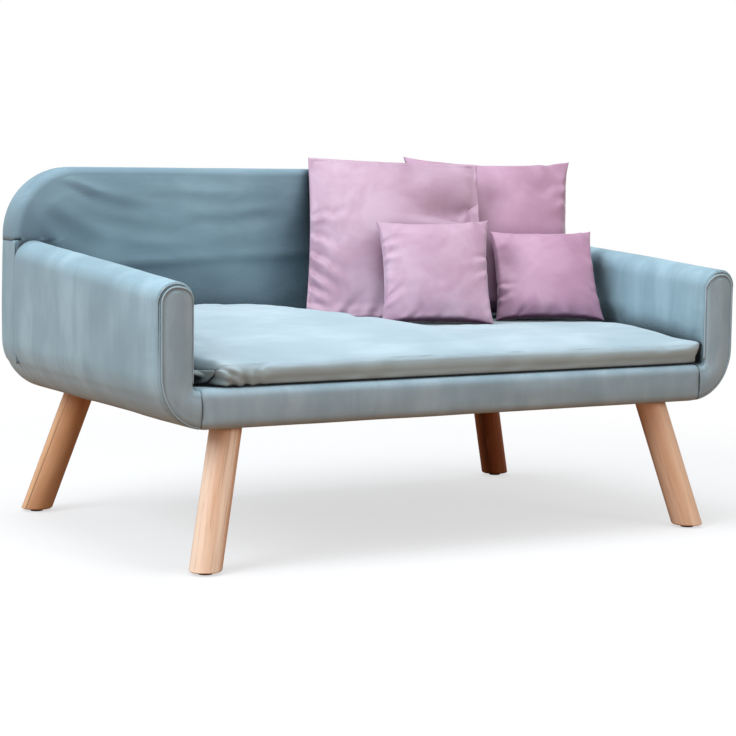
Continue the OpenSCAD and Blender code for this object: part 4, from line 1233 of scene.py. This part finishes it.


# pleats run in from an edge, as (edge, place along it, length, slant, half width, height), lengths in mm.
# folds are hollows where the filling has given way, as (u, v, half width, reach above, reach below, depth),
# with the depth in mm.
# corners are moved by (across, up) in mm, from the lower left one round to the lower right.
# painted light and shade: the cushions are one velvet, whose tones are lighter on the left pair and darker
# on the right pair, together with the way the pile lies
scatter = {
    "large_cushion_left": {
        "size": 290 * mm, "tall": 1.0, "thick": 74 * mm, "turn": 25.5, "lean": 25.5, "seed": 11,
        "nap": ("#AE8B9F", "#BEA1B3", "#9C778E"),
        "pleats": [
            ("left", 0.22, 52, -0.15, 6, 4.0), ("left", 0.02, 46, -0.8, 6, 3.6),
            ("left", -0.2, 50, -0.9, 6, 4.2), ("left", -0.42, 42, -0.9, 6, 3.8),
            ("left", -0.62, 40, -0.7, 6, 3.6), ("left", -0.8, 34, -0.5, 5, 3.0),
            ("bottom", -0.7, 34, 0.5, 6, 2.6), ("bottom", -0.35, 40, 0.2, 7, 2.2),
            ("bottom", 0.1, 30, 0.1, 7, 1.8), ("top", 0.1, 60, -0.3, 12, 1.4),
            ("right", 0.28, 70, -0.2, 8, 2.6), ("right", 0.75, 40, 0.6, 7, 2.2)],
        "folds": [(0.68, 0.25, 0.4, 0.28, 0.07, 22), (-0.15, -0.78, 0.8, 0.38, 0.12, 11)],
        "corners": [(-9, -3), (-1, 2), (-6, -8), (0, 0)],
    },
    "large_cushion_right": {
        "size": 290 * mm, "tall": 1.0, "thick": 72 * mm, "turn": 23.5, "lean": 27.0, "seed": 23,
        "nap": ("#A87F97", "#B68FA7", "#9A708A"),
        "pleats": [
            ("right", 0.62, 46, -0.5, 7, 2.6), ("right", 0.42, 40, -0.4, 6, 2.4),
            ("right", 0.1, 36, -0.2, 7, 1.8), ("top", 0.55, 46, 0.5, 8, 2.2),
            ("top", -0.2, 50, 0.2, 10, 1.6), ("left", 0.3, 50, 0.2, 10, 2.0)],
        "folds": [(0.05, 0.4, 0.25, 0.3, 0.15, 4), (0.7, 0.5, 0.2, 0.2, 0.06, 4)],
        "corners": [(0, 0), (1, 11), (1, 4), (-20, 0)],
    },
    "small_cushion_left": {
        "size": 178 * mm, "tall": 1.0, "thick": 54 * mm, "turn": 25.5, "lean": 25.5, "seed": 37,
        "nap": ("#B692A8", "#C6AABC", "#A57D96"),
        "pleats": [
            ("left", 0.46, 24, 0.05, 4, 3.2), ("left", 0.2, 24, -0.05, 4, 3.2),
            ("left", -0.1, 26, -0.4, 5, 2.0), ("left", -0.72, 26, 0.5, 5, 3.0),
            ("right", 0.22, 28, -0.4, 4, 2.8), ("right", -0.05, 26, -0.5, 4, 2.6),
            ("bottom", -0.6, 22, 0.5, 5, 2.4), ("bottom", -0.1, 20, 0.1, 6, 1.8),
            ("bottom", 0.5, 22, -0.4, 5, 2.2), ("top", 0.6, 26, 0.5, 6, 1.6)],
        "folds": [(0.0, -0.8, 0.6, 0.16, 0.12, 3), (0.5, 0.5, 0.3, 0.25, 0.2, 1.5)],
        "corners": [(-3, -2), (-7, 1), (0, 5), (2, -2)],
    },
    "small_cushion_right": {
        "size": 178 * mm, "tall": 0.9, "thick": 54 * mm, "turn": 23.5, "lean": 27.0, "seed": 41,
        "nap": ("#AE849E", "#BE97AF", "#9C728C"),
        "pleats": [
            ("left", -0.3, 26, -0.3, 4, 3.0), ("left", -0.6, 26, 0.1, 4, 3.2),
            ("bottom", -0.7, 20, 0.5, 4, 2.6), ("bottom", -0.2, 16, 0.2, 6, 1.8),
            ("bottom", 0.3, 18, -0.3, 5, 2.2), ("right", -0.6, 26, 0.4, 5, 2.4),
            ("right", 0.2, 20, -0.1, 5, 1.4)],
        "folds": [(-0.1, -0.86, 0.6, 0.1, 0.1, 3), (-0.72, 0.2, 0.25, 0.45, 0.4, 8)],
        "corners": [(0, 0), (0, 2), (-6, 3), (5, 1)],
    },
}
pads = {
    "grid": 84,
    "flange": 1.2 * mm,
    "flangeHalf": 1.0 * mm,
    "drawIn": 0.05,           # the sides are drawn in between the corners
    "fullness": 0.46,
    "cap": 4 * mm,
    "strayPleats": 5,         # small ones, on each edge
    "pleatHeight": 1.35,
    "behind": 0.5,            # the rear panel's creases are this much lower
    "rim": 5 * mm,
    "waves": ((1.4 * mm, 2.3, 3), (0.5 * mm, 6, 5)),    # height, how many, seed
}


# a square cover of two panels sewn edge to edge, filled, with its sides pulled in between the corners
def padPoint(facts, face, u, v):
    half = facts["size"] / 2
    inside = half / (half - pads["flange"])
    a, b = min(1.0, abs(u) * inside), min(1.0, abs(v) * inside)
    full = ((1 - a * a) * (1 - b * b)) ** pads["fullness"]
    x = half * u * (1 - pads["drawIn"] * (1 - abs(v) ** 2.4))
    y = half * v * (1 - pads["drawIn"] * (1 - abs(u) ** 2.4)) * facts["tall"]
    z = pads["flangeHalf"] + (facts["thick"] / 2 - pads["flangeHalf"]) * full
    atSeam = max(abs(u), abs(v)) >= 1
    return Vector((x, y, 0 if atSeam else face * z))


# the grid is finer towards the seams
def padMesh(facts):
    n = pads["grid"]
    steps = [0.6 * math.sin(math.pi / 2 * t) + 0.4 * t for t in np.linspace(-1, 1, n + 1)]
    points, faces, index = [], [], {}
    for face in (1, -1):
        for a in range(n + 1):
            for b in range(n + 1):
                if face == -1 and (a in (0, n) or b in (0, n)):
                    index[face, a, b] = index[1, a, b]
                    continue
                index[face, a, b] = len(points)
                points.append(padPoint(facts, face, steps[a], steps[b]))
    for face in (1, -1):
        for a in range(n):
            for b in range(n):
                corners = ((a, b), (a + 1, b), (a + 1, b + 1), (a, b + 1))
                faces.append([index[face, i, j] for i, j in corners[::face]])
    return points, faces


# the modelled pleats, and smaller ones at random along every edge
def pleatsOf(facts):
    chance = random.Random(facts["seed"])
    pleats = list(facts["pleats"])
    limits = ((-0.9, 0.9), (9, 20), (-0.6, 0.6), (3.5, 6), (0.6, 1.3))
    for edge in ("left", "right", "bottom", "top"):
        for k in range(pads["strayPleats"]):
            pleats.append((edge, *(chance.uniform(low, high) for low, high in limits)))
    return pleats


# height of the creases at a point: a pleat is a ridge with a sharper hollow on its upper side
def padCrease(facts, pleats, p):
    half = facts["size"] / 2
    halfUp = half * facts["tall"]
    u, v = p[0] / half, p[1] / halfUp
    seed = facts["seed"]
    panel = 1.0 if p[2] > 0 else pads["behind"]
    # for each edge: the distance from it, the place along it, and half its length
    fromSeam = {
        "left": (half * (1 + u), halfUp * v, halfUp), "right": (half * (1 - u), halfUp * v, halfUp),
        "bottom": (halfUp * (1 + v), half * u, half), "top": (halfUp * (1 - v), half * u, half)}
    height = 0.0
    for edge, at, long, slant, wide, ridge in pleats:
        rise = pads["pleatHeight"] * ridge
        d, along, reach = fromSeam[edge]
        if d > 2.2 * long * mm or abs(along - at * reach) > (4 * wide + abs(slant) * 2 * long) * mm:
            continue
        wander = 0.12 * long * mm * noise.noise(Vector((d / (16 * mm), at * 9, seed)))
        s = (along - at * reach - slant * d - wander) / (wide * mm * (1 + 0.8 * d / (long * mm)))
        fade = (1 - math.exp(-d / (2.5 * mm))) * math.exp(-(d / (long * mm)) ** 2)
        height += rise * mm * fade * (math.exp(-s * s) - 0.8 * math.exp(-((s - 1.5) / 0.8) ** 2))
    for du, dv, width, above, below, depth in facts["folds"]:
        reach = above if v > dv else below
        height -= depth * mm * hill(u - du, v - dv, (width, reach))
    for wave, many, waveSeed in pads["waves"]:
        height += wave * noise.noise(Vector((u * many + seed, v * many, waveSeed)))
    rim = min(1.0, max(0.0, (1 - max(abs(u), abs(v))) * half - pads["flange"]) / pads["rim"])
    return height * panel * rim


def makeScatter(body, facts):
    size, cushion, side = (word.title() for word in body.split("_"))
    name = size.lower() + cushion + side
    points, faces = padMesh(facts)
    across, up, out = padAxes(facts["turn"], facts["lean"])
    # painted shade: each cushion's velvet is darkened towards deep mauve where other surfaces are near
    velvet = cutVelvet(f"cutVelvetMauve{size}{side}", *facts["nap"], sheenTint="#FFF4FB", streakMm=60,
                       sheen=0.42, streaks=(1, 1, 0.8), rough=(0.42, 0.6), gloss=0.5,
                       shadeColour="#4A1B3A", shadeReachMm=42, depth=(0.2, 0.92))
    piece = newPiece(name, points, faces, velvet, body, [body + "_cover", body + "_fill"])
    settle(piece, 3.0, 14, lambda p: pads["cap"])
    pleats = pleatsOf(facts)
    # the creases move the panels along the cushion's thickness, so that its outline stays straight
    for vertex in piece.data.vertices:
        vertex.co.z += math.copysign(1, vertex.co.z) * padCrease(facts, pleats, vertex.co)
    refine(piece)
    co = verticesOf(piece)
    co -= (co.max(axis=0) + co.min(axis=0)) / 2
    measured = np.ptp(co, axis=0)
    say(f"{name} measures {[round(float(w) * 1000, 1) for w in measured]} mm")
    wanted = np.array([facts["size"], facts["size"] * facts["tall"]])
    co[:, :2] *= wanted / measured[:2]
    placed = np.array([(p[0] * across + p[1] * up + p[2] * out)[:] for p in co.tolist()])
    low, high = boxOf(body + "_cover")
    placed += (low + high) / 2 - (placed.min(axis=0) + placed.max(axis=0)) / 2
    u, v = co[:, 0] / wanted[0] * 2, co[:, 1] / wanted[1] * 2
    for (cu, cv), (acrossMm, upMm) in zip(((-1, -1), (-1, 1), (1, 1), (1, -1)), facts["corners"]):
        share = (np.clip((1 + cu * u) / 2, 0, 1) * np.clip((1 + cv * v) / 2, 0, 1)) ** 1.6
        placed += share[:, None] * np.array((acrossMm * mm * across + upMm * mm * up)[:])
    moveVertices(piece, placed)


for body, facts in scatter.items():
    makeScatter(body, facts)
say("scatter cushions filled")


# floor, backdrop and light
stage = {
    "floor": ("#EDEDED", "#F2F2F2"),
    "bounce": "#9A6234",       # warm light that the room in the photograph throws up from below
    "near": 0.7,               # the floor keeps its shadow up to here, in metres, and is white beyond
    "far": 1.6,
    "nearWhite": 0.62,
    "floorHalf": 8.0,
    "worldColour": "#EDF4FA",
    "worldPower": 0.54,
    # place, target, width and height in metres, power in watts, and colour
    "lights": {
        "leftWindow": ((-2.8, -0.7, 2.2), (0, 0, 0.3), (1.8, 1.8), 78, "#F2F7FF"),
        "topPanel": ((-0.2, -0.1, 3.0), (0, 0, 0.2), (2.0, 1.6), 54, "#F4F9FF"),
        "frontRight": ((1.5, -3.1, 1.5), (0, 0, 0.3), (1.1, 1.0), 20, "#FFF1E4"),
    },
}


def makeStage():
    material, tree, place = startMaterial("paleFloor")
    grain = addNode(tree, "TexNoise", {"Vector": place, "Scale": 6.0})
    pale = addNode(tree, "Mix", {0: grain, 6: linear(stage["floor"][0]), 7: linear(stage["floor"][1])}, 2,
                   data_type="RGBA")
    camera = addNode(tree, "LightPath", {}, "Is Camera Ray")
    colour = addNode(tree, "Mix", {0: camera, 6: linear(stage["bounce"]), 7: pale}, 2, data_type="RGBA")
    shader = addNode(tree, "BsdfPrincipled", {"Base Color": colour, "Roughness": 0.9})
    away = addNode(tree, "VectorMath", {0: place}, "Value", operation="LENGTH")
    far = addNode(tree, "MapRange", {"Value": away, "From Min": stage["near"], "From Max": stage["far"],
                                     "To Min": stage["nearWhite"]}, interpolation_type="SMOOTHSTEP")
    share = addNode(tree, "Math", {0: far, 1: camera}, operation="MULTIPLY")
    white = addNode(tree, "Emission", {})
    mix = addNode(tree, "MixShader", {0: share, 1: shader, 2: white})
    addNode(tree, "OutputMaterial", {"Surface": mix})
    half = stage["floorHalf"]
    points = [(x * half, y * half, 0) for x, y in ((-1, -1), (1, -1), (1, 1), (-1, 1))]
    mesh = bpy.data.meshes.new("floor")
    mesh.from_pydata(points, [], [(0, 1, 2, 3)])
    mesh.materials.append(material)
    floor = bpy.data.objects.new("floor", mesh)
    bpy.context.scene.collection.objects.link(floor)


def areaLight(name, place, target, size, power, colour):
    data = bpy.data.lights.new(name, "AREA")
    data.shape = "RECTANGLE"
    data.size, data.size_y = size
    data.energy = power
    data.color = linear(colour)[:3]
    light = bpy.data.objects.new(name, data)
    light.location = place
    light.rotation_euler = (Vector(target) - Vector(place)).to_track_quat("-Z", "Y").to_euler()
    bpy.context.scene.collection.objects.link(light)


def makeWorld():
    world = bpy.data.worlds.new("whiteRoom")
    bpy.context.scene.world = world
    world.use_nodes = True
    tree = world.node_tree
    tree.nodes.clear()
    room = addNode(tree, "Background", {0: linear(stage["worldColour"]), 1: stage["worldPower"]})
    seen = addNode(tree, "Background", {0: (1, 1, 1, 1), 1: 1.0})
    camera = addNode(tree, "LightPath", {}, "Is Camera Ray")
    glossy = addNode(tree, "LightPath", {}, "Is Glossy Ray")
    either = addNode(tree, "Math", {0: camera, 1: glossy}, operation="MAXIMUM")
    mix = addNode(tree, "MixShader", {0: either, 1: room, 2: seen})
    addNode(tree, "OutputWorld", {"Surface": mix})


makeStage()
makeWorld()
for name, facts in stage["lights"].items():
    areaLight(name, *facts)
bpy.context.scene.view_settings.view_transform = "Standard"
say("stage set")
